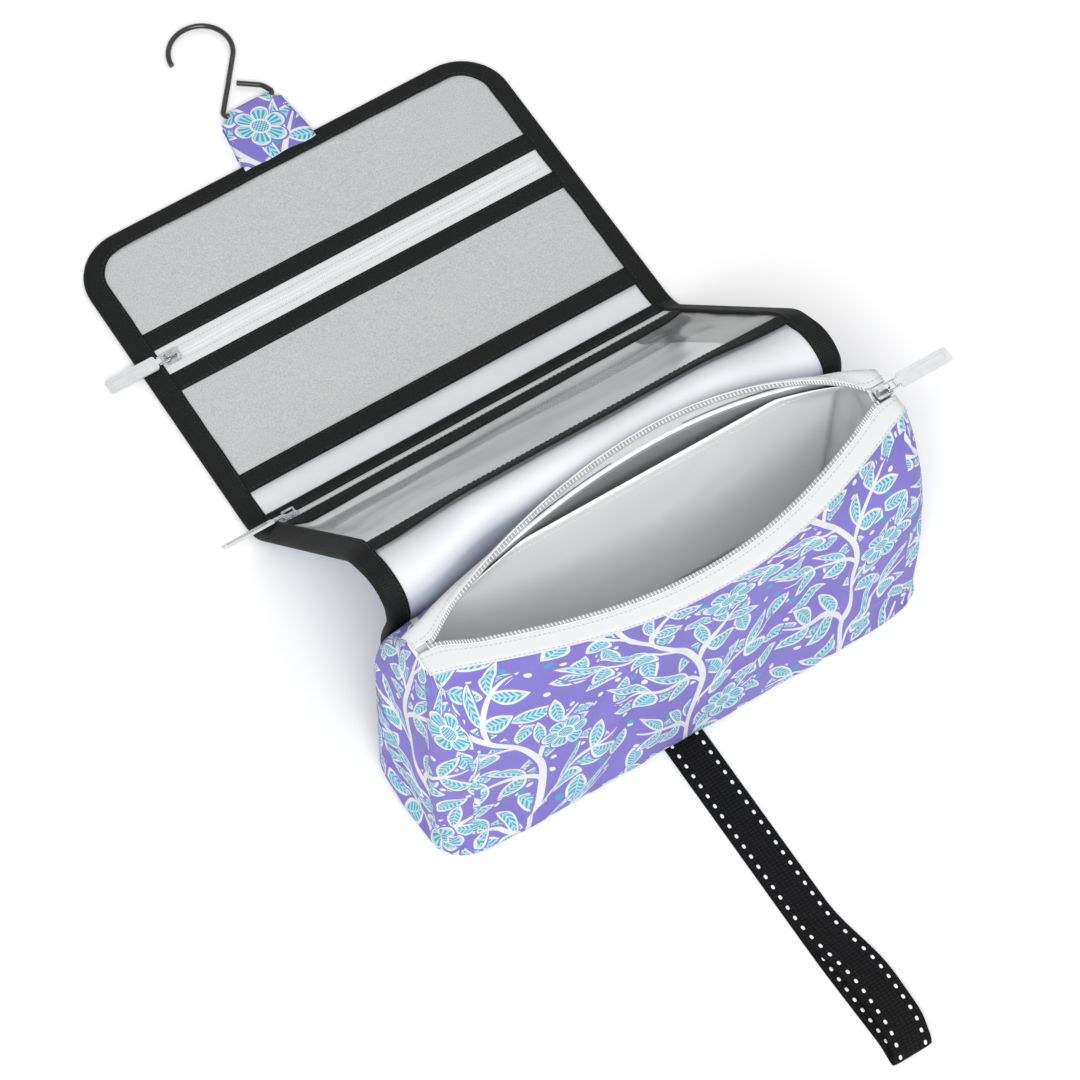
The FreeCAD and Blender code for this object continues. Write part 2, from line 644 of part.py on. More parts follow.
def make_upper_flap():
    for layer, level in CLOTH_LEVELS.items():
        save(flat_sheet(BINDING_WALL, above(level)), "upper_flap_" + layer)
    whole = flat_sheet(0.0, above((-FLAP_HALF_T, FLAP_HALF_T)))
    core = flat_sheet(BINDING_WALL, above((-CORE_HALF_T, CORE_HALF_T)))
    middle = flat_sheet(BINDING_WIDTH, above((-FLAP_HALF_T - 1, FLAP_HALF_T + 1)))
    save(whole.cut(core).cut(middle), "upper_flap_binding")

    window = flat_sheet(BINDING_WIDTH + 0.3, above((-FLAP_HALF_T, 9.0)))
    header = box(CLEAR_X, HEADER_Y, above((CORE_HALF_T, TAPE_LEVEL[1])))
    save(header.common(window), "header_panel")
    save(box(CLEAR_X, MESH_Y, above(PANEL_LEVEL)), "mesh_pocket_panel")
    save(box(CLEAR_X, BASE_STRIP_Y, above((CORE_HALF_T, STRIP_LEVEL[1]))), "pocket_base_strip")
    save(box(CLEAR_X, LOWER_STRIP_Y, above(STRIP_LEVEL)), "mesh_zip_lower_strip")
    save(box(CLEAR_X, UPPER_STRIP_Y, above(STRIP_LEVEL)), "mesh_zip_upper_strip")
    chain_half = CHAIN_W / 2 + 0.1
    rows = [(UPPER_TAPE_Y[0], UPPER_ZIP_Y - chain_half), (UPPER_ZIP_Y + chain_half, UPPER_TAPE_Y[1])]
    save(group([box(CLEAR_X, row, above(TAPE_LEVEL)) for row in rows]), "mesh_zip_tapes")
    place = (False, V(FLAP_CHAIN_X[0], UPPER_ZIP_Y, FOOT_Z), 0.0)
    save(place_on_flap(chain_rows(), *place), "mesh_zip_chain")


# ---- tab and hook ---------------------------------------------------------------------------

def make_tab():
    """A fabric loop sewn on the flap's far edge, round the hook's bar."""
    loop_r = WIRE_R + 0.35
    start = UPPER_END_Y + TAB_GAP
    upper_z = WIRE_Z + loop_r
    lower_z = WIRE_Z - loop_r
    far = TAB_SHOULDER_Y + TAB_SHOULDER_RISE
    left, right = TAB_LOOP_X

    def plate(z):
        points = [V(TAB_EDGE_X[0], start, z), V(TAB_EDGE_X[1], start, z),
                  V(TAB_EDGE_X[1] - TAB_SHOULDER_INSET[1], TAB_SHOULDER_Y, z), V(right, far, z),
                  V(right, BAR_Y, z), V(left, BAR_Y, z), V(left, far, z),
                  V(TAB_EDGE_X[0] + TAB_SHOULDER_INSET[0], TAB_SHOULDER_Y, z)]
        return Part.Face(polygon(points)).extrude(V(0, 0, TAB_T))

    bend = Part.makeCylinder(loop_r + TAB_T, right - left, V(left, BAR_Y, WIRE_Z), V(1, 0, 0))
    hole = Part.makeCylinder(loop_r, 2 * (right - left), V(2 * left - right, BAR_Y, WIRE_Z), V(1, 0, 0))
    ahead = box((left - 1, right + 1), (BAR_Y, BAR_Y + 20), (-20, 20))
    tab = plate(upper_z).fuse(plate(lower_z - TAB_T)).fuse(bend.cut(hole).common(ahead))
    save(tab.removeSplitter(), "hanger_tab")


def make_hook():
    """A bent wire hook: a throat, a neck, and a triangle whose bar the tab holds."""
    def p(x, y):
        return V(x, y, WIRE_Z)

    def on_hook(deg):
        rad = math.radians(deg)
        return p(HOOK_C[0] + HOOK_R * math.cos(rad), HOOK_C[1] + HOOK_R * math.sin(rad))

    def unit(a, b):
        return (b - a).normalize()

    def rounded(a, corner, b, r):
        """Tangent points and arc of radius r at a corner."""
        u, w = unit(corner, a), unit(corner, b)
        half = u.getAngle(w) / 2
        reach = r / math.tan(half)
        start, end = corner + u * reach, corner + w * reach
        centre = corner + (u + w).normalize() * (r / math.sin(half))
        mid = centre + (corner - centre).normalize() * r
        return start, mid, end

    tip, throat, neck = on_hook(HOOK_TIP_DEG), on_hook(HOOK_THROAT_DEG), p(*NECK)
    left, right = p(BAR_LEFT_X, BAR_Y), p(BAR_RIGHT_X, BAR_Y)
    leg_bend = p(*LEG_BEND)
    leg_end = p(NECK[0] + LEG_GAP[0], NECK[1] + LEG_GAP[1])
    n0, n1, n2 = rounded(throat, neck, left, NECK_BEND_R)
    l0, l1, l2 = rounded(neck, left, right, BAR_CORNER_R)
    r0, r1, r2 = rounded(left, right, leg_bend, BAR_CORNER_R)
    b0, b1, b2 = rounded(right, leg_bend, leg_end, LEG_BEND_R)
    path = [arc(tip, on_hook((HOOK_TIP_DEG + HOOK_THROAT_DEG) / 2), throat), line(throat, n0),
            arc(n0, n1, n2), line(n2, l0), arc(l0, l1, l2), line(l2, r0), arc(r0, r1, r2),
            line(r2, b0), arc(b0, b1, b2), line(b2, leg_end)]
    start_dir = V(-math.sin(math.radians(HOOK_TIP_DEG)), math.cos(math.radians(HOOK_TIP_DEG)), 0)
    section = Part.Wire(Part.makeCircle(WIRE_R, tip, start_dir))
    save(Part.Wire(path).makePipeShell([section], True, False), "wire_hook")


# ---- strap ----------------------------------------------------------------------------------

def strap_edges(offset):
    """One face of the folded webbing, in the YZ plane, offset from the inside of the fold."""
    low = STRAP_T - offset
    bend = STRAP_LOOP_H / 2 - STRAP_T
    fold_y = STRAP_END_Y + STRAP_T + bend
    top = STRAP_T + 2 * bend + offset
    rest = STRAP_T + STRAP_LAYER_GAP + offset
    a = V(0, STRAP_ROOT_Y, low)
    b = V(0, fold_y, low)
    c = V(0, fold_y - bend - offset, STRAP_T + bend)
    d = V(0, fold_y, top)
    e = V(0, STRAP_CREST_Y, top)
    f = V(0, STRAP_PART_Y, rest)
    g = V(0, STRAP_ROOT_Y, rest)
    return [line(a, b), arc(b, c, d), line(d, e), line(e, f), line(f, g)]


def make_strap():
    """A doubled webbing whose two layers part towards the fold and leave an open loop."""
    inner, outer = strap_edges(0.0), strap_edges(STRAP_T)
    ends = [line(inner[0].Vertexes[0].Point, outer[0].Vertexes[0].Point),
            line(inner[-1].Vertexes[-1].Point, outer[-1].Vertexes[-1].Point)]
    x = (STRAP_X - STRAP_W / 2, STRAP_X + STRAP_W / 2)
    edges = Part.__sortEdges__(inner + outer + ends)
    save(extrude_x(edges, x), "carry_strap")
    anchor = box(x, STRAP_ANCHOR_Y, (0.0, STRAP_ANCHOR_T)).cut(pouch_solid(0.0))
    save(anchor, "strap_anchor_end")


def main():
    os.makedirs(OUT, exist_ok=True)
    make_pouch()
    make_divider()
    make_main_zip()
    make_sliders()
    make_rear_flap()
    make_ridge()
    make_middle_flap()
    make_foot_fold()
    make_upper_flap()
    make_tab()
    make_hook()
    make_strap()


main()
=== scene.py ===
"""The looks of a hanging toiletry bag that lies open on a table.

Everything is in metres, in the frame of the CAD model: +Z up, +X right, +Y from the bag's pouch
towards its hook, and the origin at the centre of the pouch's base.

The flap is drawn on a strip coordinate s: s = 0 at the foot fold, s grows up the ramp and over the
ridge down to the table behind the pouch, and s falls below 0 along the flat upper flap.
n is the height above the middle of the flap's thickness.
"""

import json
import math

import bmesh
import bpy
import numpy as np
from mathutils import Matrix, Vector, noise


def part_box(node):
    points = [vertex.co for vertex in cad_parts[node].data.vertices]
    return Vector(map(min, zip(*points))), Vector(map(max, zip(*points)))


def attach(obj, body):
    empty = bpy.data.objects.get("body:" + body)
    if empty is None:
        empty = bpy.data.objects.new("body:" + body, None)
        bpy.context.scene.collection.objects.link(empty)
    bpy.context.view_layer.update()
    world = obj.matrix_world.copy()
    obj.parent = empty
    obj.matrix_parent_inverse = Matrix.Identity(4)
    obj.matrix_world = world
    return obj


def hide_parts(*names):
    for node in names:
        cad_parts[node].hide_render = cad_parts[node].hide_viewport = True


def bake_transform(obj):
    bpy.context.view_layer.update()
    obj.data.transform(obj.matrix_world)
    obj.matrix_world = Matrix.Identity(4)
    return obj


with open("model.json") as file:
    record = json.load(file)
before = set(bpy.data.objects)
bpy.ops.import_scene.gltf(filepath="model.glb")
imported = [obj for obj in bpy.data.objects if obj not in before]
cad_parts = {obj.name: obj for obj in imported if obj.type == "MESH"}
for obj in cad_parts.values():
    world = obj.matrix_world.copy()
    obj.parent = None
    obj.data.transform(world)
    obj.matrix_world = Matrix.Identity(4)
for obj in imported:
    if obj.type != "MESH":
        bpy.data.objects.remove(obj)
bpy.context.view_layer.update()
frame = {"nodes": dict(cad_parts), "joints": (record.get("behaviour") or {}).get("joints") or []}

V = Vector
MM = 0.001
SCENE = bpy.context.scene
JOINTS = {joint["name"]: joint for joint in frame["joints"]}


def low(node):
    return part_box(node)[0]


def high(node):
    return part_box(node)[1]


# ---- sizes: from the frame, with the few shapes that a box can't give --------------------------

# The flap in section: CORE_HALF is half of its padding's thickness, BINDING_RIM half of its bound
# edge's, and BINDING_LAP is how far what is sewn on the flap runs in under the binding.
FLAP_HALF = high("middle_flap_bindings").x
BINDING_W = 12.7 * MM
BINDING_RIM = 2.3 * MM
CORE_HALF = 1.5 * MM
BINDING_LAP = 2.2 * MM
PANEL_HALF = FLAP_HALF - BINDING_W + BINDING_LAP
FLAP_CORNER_R = 32 * MM

# The flap from the side: an arc at the foot, a straight ramp, the ridge as an arc about RIDGE_C whose
# radius grows from one end to the other, and the part behind the pouch, which leans a little.
FOOT_Y = JOINTS["foot_fold"]["pos_m"][1]
FOOT_Z = JOINTS["foot_fold"]["pos_m"][2]
RAMP = math.radians(53.26)
FOOT_R = 26.9 * MM
RIDGE_C = (56 * MM, 166 * MM)
RIDGE_R = (9.07 * MM, 9.52 * MM)
RIDGE_SWELL = 1.2 * MM
RIDGE_DROP = (10.0 * MM, 9.4 * MM)
REAR_LEAN = math.radians(3.6)
RIDGE_FROM = math.pi / 2 - RAMP
RIDGE_TO = math.pi - REAR_LEAN
FAR_Y = high("upper_flap_binding").y
S_FAR = FOOT_Y - FAR_Y
S_RIDGE = 222.57 * MM
S_REAR = S_RIDGE + (RIDGE_TO - RIDGE_FROM) * 10.2 * MM
S_END = S_REAR + 163 * MM
S_JOIN = 48 * MM
REAR_EASE = 55 * MM
REAR_SHIFT = 28 * MM

# The pouch. A pair is (front, rear) or (y, z). The crest of a lip is (its place along X, how sharply
# it falls to the left, and to the right).
POUCH_HALF = high("pouch_right_end").x
POUCH_FRONT = -44 * MM
POUCH_REAR = high("pouch_rear").y
POUCH_CORNER = 20 * MM
SHOULDER_Z = 112 * MM
MOUTH_Z = high("pouch_rear").z
MOUTH_HALF = 147 * MM
MOUTH_END = (13 * MM, 8.7 * MM)
RIM_CORNER = 3 * MM
FRONT_EDGE = (-45.5 * MM, 166 * MM)
REAR_EDGE = (41.0 * MM, 177 * MM)
FRONT_CHAIN = (-35 * MM, 168 * MM)
REAR_CHAIN = (41.5 * MM, 187 * MM)
FRONT_CREST = (12 * MM, 1.3, 1.15)
REAR_CREST = (25 * MM, 1.1, 0.8)
CHAIN_HALF = high("front_zip_chain").x
CHAIN_END_Y = 5.6 * MM


# ---- mesh tools ------------------------------------------------------------------------------------

def link(name, mesh, materials):
    """A smooth-shaded mesh as a piece of the scene, with its materials."""
    piece = bpy.data.objects.new(name, mesh)
    SCENE.collection.objects.link(piece)
    for material in materials:
        mesh.materials.append(material)
    mesh.polygons.foreach_set("use_smooth", [True] * len(mesh.polygons))
    return piece


def mesh_of(name, points, faces, uvs=None, slots=None):
    """A mesh from points and faces, with a UV pair for each point of each face."""
    mesh = bpy.data.meshes.new(name)
    mesh.from_pydata([tuple(p) for p in points], [], faces)
    if slots is not None:
        mesh.polygons.foreach_set("material_index", slots)
    if uvs is not None:
        layer = mesh.uv_layers.new(name="cloth")
        flat = [value for face in uvs for pair in face for value in pair]
        layer.data.foreach_set("uv", flat)
    mesh.validate()
    mesh.update()
    return mesh


def turned_out(mesh):
    """Makes every face of a closed mesh look outwards."""
    work = bmesh.new()
    work.from_mesh(mesh)
    bmesh.ops.recalc_face_normals(work, faces=work.faces)
    work.to_mesh(mesh)
    work.free()
    return mesh


def slab(name, top, bottom, uv, materials):
    """A closed layer of cloth between two grids of points; uv is a grid of pairs.

    The top face has the first material, and the bottom and the edges have the last.
    """
    rows, cols = len(top), len(top[0])
    points = [p for row in top for p in row] + [p for row in bottom for p in row]
    back = rows * cols
    faces, uvs, slots = [], [], []

    def add(corners, slot):
        faces.append([side + r * cols + c for side, r, c in corners])
        uvs.append([uv[r][c] for _, r, c in corners])
        slots.append(slot)

    last = len(materials) - 1
    for r in range(rows - 1):
        for c in range(cols - 1):
            square = [(r, c), (r, c + 1), (r + 1, c + 1), (r + 1, c)]
            add([(0, a, b) for a, b in square], 0)
            add([(back, a, b) for a, b in reversed(square)], last)
    border = [(0, c) for c in range(cols - 1)]
    border += [(r, cols - 1) for r in range(rows - 1)]
    border += [(rows - 1, c) for c in range(cols - 1, 0, -1)]
    border += [(r, 0) for r in range(rows - 1, 0, -1)]
    for (r0, c0), (r1, c1) in zip(border, border[1:] + border[:1]):
        add([(0, r1, c1), (0, r0, c0), (back, r0, c0), (back, r1, c1)], last)
    return link(name, turned_out(mesh_of(name, points, faces, uvs, slots)), materials)


def sweep(name, stations, profile, lengths, material):
    """A solid band: profile points (inward, height) carried along stations.

    A station is a function that turns a profile point into a place, and lengths says how far
    along the band each station is.
    """
    count = len(profile)
    around = [0.0]
    for a, b in zip(profile, profile[1:]):
        around.append(around[-1] + math.dist(a, b))
    points = [place(*corner) for place in stations for corner in profile]
    faces, uvs = [], []
    for i in range(len(stations) - 1):
        for j in range(count):
            k = (j + 1) % count
            faces.append([i * count + j, i * count + k, (i + 1) * count + k, (i + 1) * count + j])
            end = around[k] if k else around[-1] + math.dist(profile[-1], profile[0])
            uvs.append([(lengths[i], around[j]), (lengths[i], end),
                        (lengths[i + 1], end), (lengths[i + 1], around[j])])
    for i in (0, len(stations) - 1):
        ring = [i * count + j for j in range(count)]
        faces.append(ring if i else ring[::-1])
        uvs.append([(lengths[i], around[j]) for j in range(count)])
    return link(name, turned_out(mesh_of(name, points, faces, uvs)), [material])


ROD_RINGS = [(-1.0, 0.35), (-0.72, 0.85), (0.0, 1.0), (0.72, 0.85), (1.0, 0.35)]


def rods(name, spans, radius, material, flat=1.0, sides=6):
    """Many short round-ended rods in one piece: stitches, coil turns and the like.

    A span is (middle, half of its length as a vector, the direction that looks up). A ring of
    ROD_RINGS is (place along the half length, share of the radius).
    """
    points, faces = [], []
    for middle, half, up in spans:
        across = half.cross(up).normalized()
        start = len(points)
        for along, swell in ROD_RINGS:
            for j in range(sides):
                a = 2 * math.pi * j / sides
                points.append(middle + half * along + across * (math.cos(a) * radius * swell)
                              + up * (math.sin(a) * radius * swell * flat))
        for i in range(len(ROD_RINGS) - 1):
            for j in range(sides):
                k = (j + 1) % sides
                a = start + i * sides
                faces.append([a + j, a + k, a + sides + k, a + sides + j])
        faces.append([start + j for j in reversed(range(sides))])
        faces.append([start + (len(ROD_RINGS) - 1) * sides + j for j in range(sides)])
    return link(name, turned_out(mesh_of(name, points, faces)), [material])


def flat_uv(rows, first, second):
    """Cloth coordinates of a grid of points, read off two of their axes."""
    return [[(p[first], p[second]) for p in row] for row in rows]


def lowered(rows, step):
    """A grid of points moved by minus step."""
    return [[p - step for p in row] for row in rows]


def spread(start, end, count):
    """Evenly spaced values, both ends included."""
    return [start + (end - start) * i / (count - 1) for i in range(count)]


def smooth(t):
    """0 below 0, 1 above 1, and an S-shaped step between."""
    t = min(max(t, 0.0), 1.0)
    return t * t * (3 - 2 * t)


def ripple(x, y, size, seed=0.0):
    """A soft random height between about -1 and 1, with bumps of the given size."""
    return noise.noise(V((x / size, y / size, seed))) * 1.6


def settle(piece, held, slack, pressure, cap, frames, gravity):
    """Lets a piece find its shape as cloth, held at some points, and keeps the result.

    slack is the share by which the cloth is larger than its mesh. No point ends further than cap
    from where it was.
    """
    mesh = piece.data
    group = piece.vertex_groups.new(name="sewn")
    group.add(held, 1.0, "REPLACE")
    cloth = piece.modifiers.new("cloth", "CLOTH")
    cloth.settings.quality = 6
    cloth.settings.mass = 0.15
    cloth.settings.vertex_group_mass = group.name
    cloth.settings.shrink_min = -slack
    cloth.settings.use_pressure = pressure != 0
    cloth.settings.uniform_pressure_force = pressure
    cloth.settings.tension_stiffness = 12
    cloth.settings.compression_stiffness = 12
    cloth.settings.shear_stiffness = 6
    cloth.settings.bending_stiffness = 1.5
    cloth.settings.effector_weights.gravity = gravity
    cloth.collision_settings.use_collision = False
    cloth.point_cache.frame_start = 1
    cloth.point_cache.frame_end = frames
    for number in range(1, frames + 1):
        SCENE.frame_set(number)
    shaped = piece.evaluated_get(bpy.context.evaluated_depsgraph_get())
    for before, after in zip(mesh.vertices, shaped.data.vertices):
        move = after.co - before.co
        if move.length > cap:
            move *= cap / move.length
        before.co += move
    piece.modifiers.remove(cloth)
    piece.vertex_groups.remove(group)
    SCENE.frame_set(1)


# ---- the flap's shape ------------------------------------------------------------------------------

def flap_frame(s):
    """(y, z) of the middle of the flap at s, and the (y, z) direction that looks up from it."""
    if s < 0:
        return (FOOT_Y - s, FOOT_Z), (0.0, 1.0)
    if s < S_RIDGE:
        turn = min(s / FOOT_R, RAMP)
        run = max(s - FOOT_R * RAMP, 0.0)
        y = FOOT_Y - FOOT_R * math.sin(turn) - run * math.cos(RAMP)
        z = FOOT_Z + FOOT_R * (1 - math.cos(turn)) + run * math.sin(RAMP)
        return (y, z), (math.sin(turn), math.cos(turn))
    if s < S_REAR:
        t = (s - S_RIDGE) / (S_REAR - S_RIDGE)
        angle = RIDGE_FROM + (RIDGE_TO - RIDGE_FROM) * t
        r = RIDGE_R[0] + (RIDGE_R[1] - RIDGE_R[0]) * t + RIDGE_SWELL * math.sin(math.pi * t) ** 2
        up = (math.cos(angle), math.sin(angle))
        return (RIDGE_C[0] + r * up[0], RIDGE_C[1] + r * up[1]), up
    (y, z), up = flap_frame(S_REAR - 1e-9)
    run = s - S_REAR
    lean = REAR_LEAN * (1 - smooth(run / REAR_EASE))
    y -= math.tan(REAR_LEAN) * REAR_SHIFT * smooth(run / REAR_EASE)
    return (y, z - run), (-math.cos(lean), math.sin(lean))


def hump(s, start, top, end):
    """0 up to start, 1 at top and 0 again from end on, with soft steps."""
    return smooth((s - start) / (top - start)) * (1 - smooth((s - top) / (end - top)))


def flap_middle(s, x):
    """(y, z) of the middle of the flap, with the sag of the ramp and its softer sides at the ridge."""
    (y, z), up = flap_frame(s)
    side = smooth((abs(x) - 66 * MM) / (60 * MM))
    y -= RIDGE_DROP[0] * side * hump(s, 205 * MM, 258 * MM, 306 * MM)
    z -= RIDGE_DROP[1] * side * hump(s, 194 * MM, 233 * MM, 286 * MM)
    slack = (5.2 - 1.9 * x / FLAP_HALF) * MM * (1 - smooth((abs(x) - 116 * MM) / (16 * MM)))
    slack *= hump(s, 38 * MM, 72 * MM, 196 * MM)
    return y - up[0] * slack, z - up[1] * slack


def flap_tilt(s, x):
    """The (y, z) direction that looks up from the flap at one place."""
    step = 0.6 * MM
    y0, z0 = flap_middle(s - step, x)
    y1, z1 = flap_middle(s + step, x)
    length = math.hypot(y1 - y0, z1 - z0)
    return (z1 - z0) / length, (y0 - y1) / length


def flap_point(s, n, x):
    """The place n above the middle of the flap."""
    y, z = flap_middle(s, x)
    up = flap_tilt(s, x)
    return V((x, y + up[0] * n, z + up[1] * n))


def flap_up(s, x=0.0):
    """flap_tilt as a vector."""
    up = flap_tilt(s, x)
    return V((0, up[0], up[1]))


def half_width(s, margin=0.0):
    """Half of the flap's width at s, less where its far corners are rounded."""
    r = FLAP_CORNER_R - margin
    beyond = (S_FAR + margin + r) - s
    if beyond <= 0:
        return FLAP_HALF - margin
    return FLAP_HALF - margin - r + math.sqrt(max(r * r - beyond * beyond, 0.0))


FINE_STEP = 1.6 * MM


def flap_stations(start, end, step):
    """Places along the flap, closer together where it bends and at its rounded corners."""
    places = [start]
    while places[-1] < end - 1e-6:
        s = places[-1]
        bend = -14 * MM < s < 34 * MM or S_RIDGE - 6 * MM < s < S_REAR + 14 * MM
        corner = s < S_FAR + FLAP_CORNER_R
        places.append(min(s + (FINE_STEP if bend or corner else step), end))
    return places


def film_bulge(s, x):
    """How far the clear film of the window pocket stands off the lining."""
    sides = 1 - smooth((abs(x) - 100 * MM) / (30 * MM))
    wave = 1 + 0.3 * math.sin(x / (27 * MM) + s / (40 * MM))
    return 1.9 * MM * hump(s, 52 * MM, 95 * MM, 204 * MM) * sides * wave


def zip_wave(x):
    """The slight waves of a light zip that is sewn on cloth."""
    calm = smooth((abs(x) - 105 * MM) / (15 * MM))
    return 0.4 * MM * math.sin(x / (9.5 * MM) + 0.8 * math.sin(x / (31 * MM))) * (1 - calm)


# ---- materials --------------------------------------------------------------------------------------

class Value:
    """A number worked out at each point of a surface; arithmetic on it adds Math nodes."""

    def __init__(self, tree, socket):
        self.tree = tree
        self.socket = socket

    def math(self, kind, *others):
        node = self.tree.nodes.new("ShaderNodeMath")
        node.operation = kind
        for entry, value in zip(node.inputs, (self,) + others):
            if isinstance(value, Value):
                self.tree.links.new(value.socket, entry)
            else:
                entry.default_value = value
        return Value(self.tree, node.outputs[0])

    def __add__(self, other):
        return self.math("ADD", other)

    def __sub__(self, other):
        return self.math("SUBTRACT", other)

    def __mul__(self, other):
        return self.math("MULTIPLY", other)

    def __truediv__(self, other):
        return self.math("DIVIDE", other)

    def abs(self):
        return self.math("ABSOLUTE")

    def sin(self):
        return self.math("SINE")

    def cos(self):
        return self.math("COSINE")

    def sqrt(self):
        return self.math("SQRT")

    def floor(self):
        return self.math("FLOOR")

    def low(self, other):
        return self.math("MINIMUM", other)

    def high(self, other):
        return self.math("MAXIMUM", other)

    def below(self, other):
        """1 where the value is below other, else 0."""
        return self.math("LESS_THAN", other)

    def above(self, other):
        return self.math("GREATER_THAN", other)

    def wrap(self, period):
        """The value brought into 0 to period by whole steps."""
        return self.math("FLOORED_MODULO", period)

    def ramp(self, start, end):
        """0 at start and 1 at end, held there beyond."""
        node = self.tree.nodes.new("ShaderNodeMapRange")
        node.inputs["From Min"].default_value = start
        node.inputs["From Max"].default_value = end
        self.tree.links.new(self.socket, node.inputs["Value"])
        return Value(self.tree, node.outputs["Result"])


class Surface:
    """A material under construction, around one Principled BSDF."""

    def __init__(self, name, color, rough, **constants):
        self.material = bpy.data.materials.new(name)
        self.material.use_nodes = True
        self.tree = self.material.node_tree
        self.shader = self.tree.nodes["Principled BSDF"]
        self.set("Base Color", color)
        self.set("Roughness", rough)
        for key, value in constants.items():
            self.set(key.replace("_", " "), value)
        self.height = None

    def set(self, entry, value):
        if isinstance(value, tuple):
            value = (*value, 1.0)
        self.shader.inputs[entry].default_value = value

    def node(self, kind, **settings):
        made = self.tree.nodes.new(kind)
        for key, value in settings.items():
            if hasattr(made, key):
                setattr(made, key, value)
            else:
                made.inputs[key.replace("_", " ")].default_value = value
        return made

    def cloth_uv(self):
        """The two cloth coordinates of the piece, in metres."""
        uv = self.node("ShaderNodeUVMap", uv_map="cloth")
        split = self.node("ShaderNodeSeparateXYZ")
        self.tree.links.new(uv.outputs["UV"], split.inputs[0])
        return Value(self.tree, split.outputs[0]), Value(self.tree, split.outputs[1])

    def object_place(self):
        place = self.node("ShaderNodeTexCoord")
        return place.outputs["Object"]

    def pair(self, u, v):
        """A vector socket from two values."""
        join = self.node("ShaderNodeCombineXYZ")
        self.tree.links.new(u.socket, join.inputs[0])
        self.tree.links.new(v.socket, join.inputs[1])
        return join.outputs[0]

    def noise(self, vector, size, detail=3.0, rough=0.5):
        """A random value of about 0.5, with bumps of the given size in metres."""
        node = self.node("ShaderNodeTexNoise", Scale=1 / size, Detail=detail, Roughness=rough)
        self.tree.links.new(vector, node.inputs["Vector"])
        return Value(self.tree, node.outputs[0])

    def mix(self, share, a, b):
        """A colour socket between two colours, each a tuple or a socket."""
        node = self.node("ShaderNodeMix", data_type="RGBA")
        self.tree.links.new(share.socket, node.inputs["Factor"])
        for entry, value in ((node.inputs[6], a), (node.inputs[7], b)):
            if isinstance(value, tuple):
                entry.default_value = (*value, 1.0)
            else:
                self.tree.links.new(value, entry)
        return node.outputs[2]

    def color(self, socket):
        self.tree.links.new(socket, self.shader.inputs["Base Color"])

    def rough(self, value):
        self.tree.links.new(value.socket, self.shader.inputs["Roughness"])

    def bump(self, value, depth, strength=1.0):
        """Raises the surface by value times depth, in metres."""
        node = self.node("ShaderNodeBump", Strength=strength, Distance=depth)
        self.tree.links.new(value.socket, node.inputs["Height"])
        if self.height is not None:
            self.tree.links.new(self.height, node.inputs["Normal"])
        self.height = node.outputs["Normal"]
        self.tree.links.new(self.height, self.shader.inputs["Normal"])


def weave(surface, u, v, pitch, depth):
    """The over and under of a plain weave, as bump."""
    k = 2 * math.pi / pitch
    surface.bump((u * k).sin() * (v * k).sin(), depth, 0.5)


def mottled(surface, size, tint, dark):
    """Gives the base colour a soft variation between two colours."""
    patch = surface.noise(surface.object_place(), size, 4.0, 0.55).ramp(0.3, 0.7)
    surface.color(surface.mix(patch, dark, tint))


# Inks of the print, the sizes of its motifs and the step from one to the next. A leaf is (half of its
# length, half of its width, bend, pitch of its veins, width of its white rim).
PURPLE = (0.188, 0.150, 0.505)
PURPLE_SHADE = (0.172, 0.136, 0.470)
WHITE_INK = (0.670, 0.675, 0.685)
TEAL = (0.034, 0.320, 0.480)
PALE_TEAL = (0.360, 0.560, 0.610)

FLOWER_REPEAT = (104 * MM, 118 * MM)
FLOWER_PETALS = 6
FLOWER_R = 15.5 * MM
SEED_PITCH = 2.0 * MM
VINE_STEP = 104 * MM
VINE_TURN = 0.2
VINE_SWAY = (190 * MM, 14 * MM)
STEM_HALF = 1.9 * MM
BRANCH_STEP = 48 * MM
BRANCH_REACH = 46 * MM
BRANCH_RISE = 42 * MM
LEAF_STEP = 19.5 * MM
LEAF_TURN = 0.85
VINE_LEAF = (12.0 * MM, 4.9 * MM, 2.0 * MM, 3.2 * MM, 1.45 * MM)
LOOSE_LEAF = (12.6 * MM, 5.4 * MM, 1.6 * MM, 3.0 * MM, 1.4 * MM)


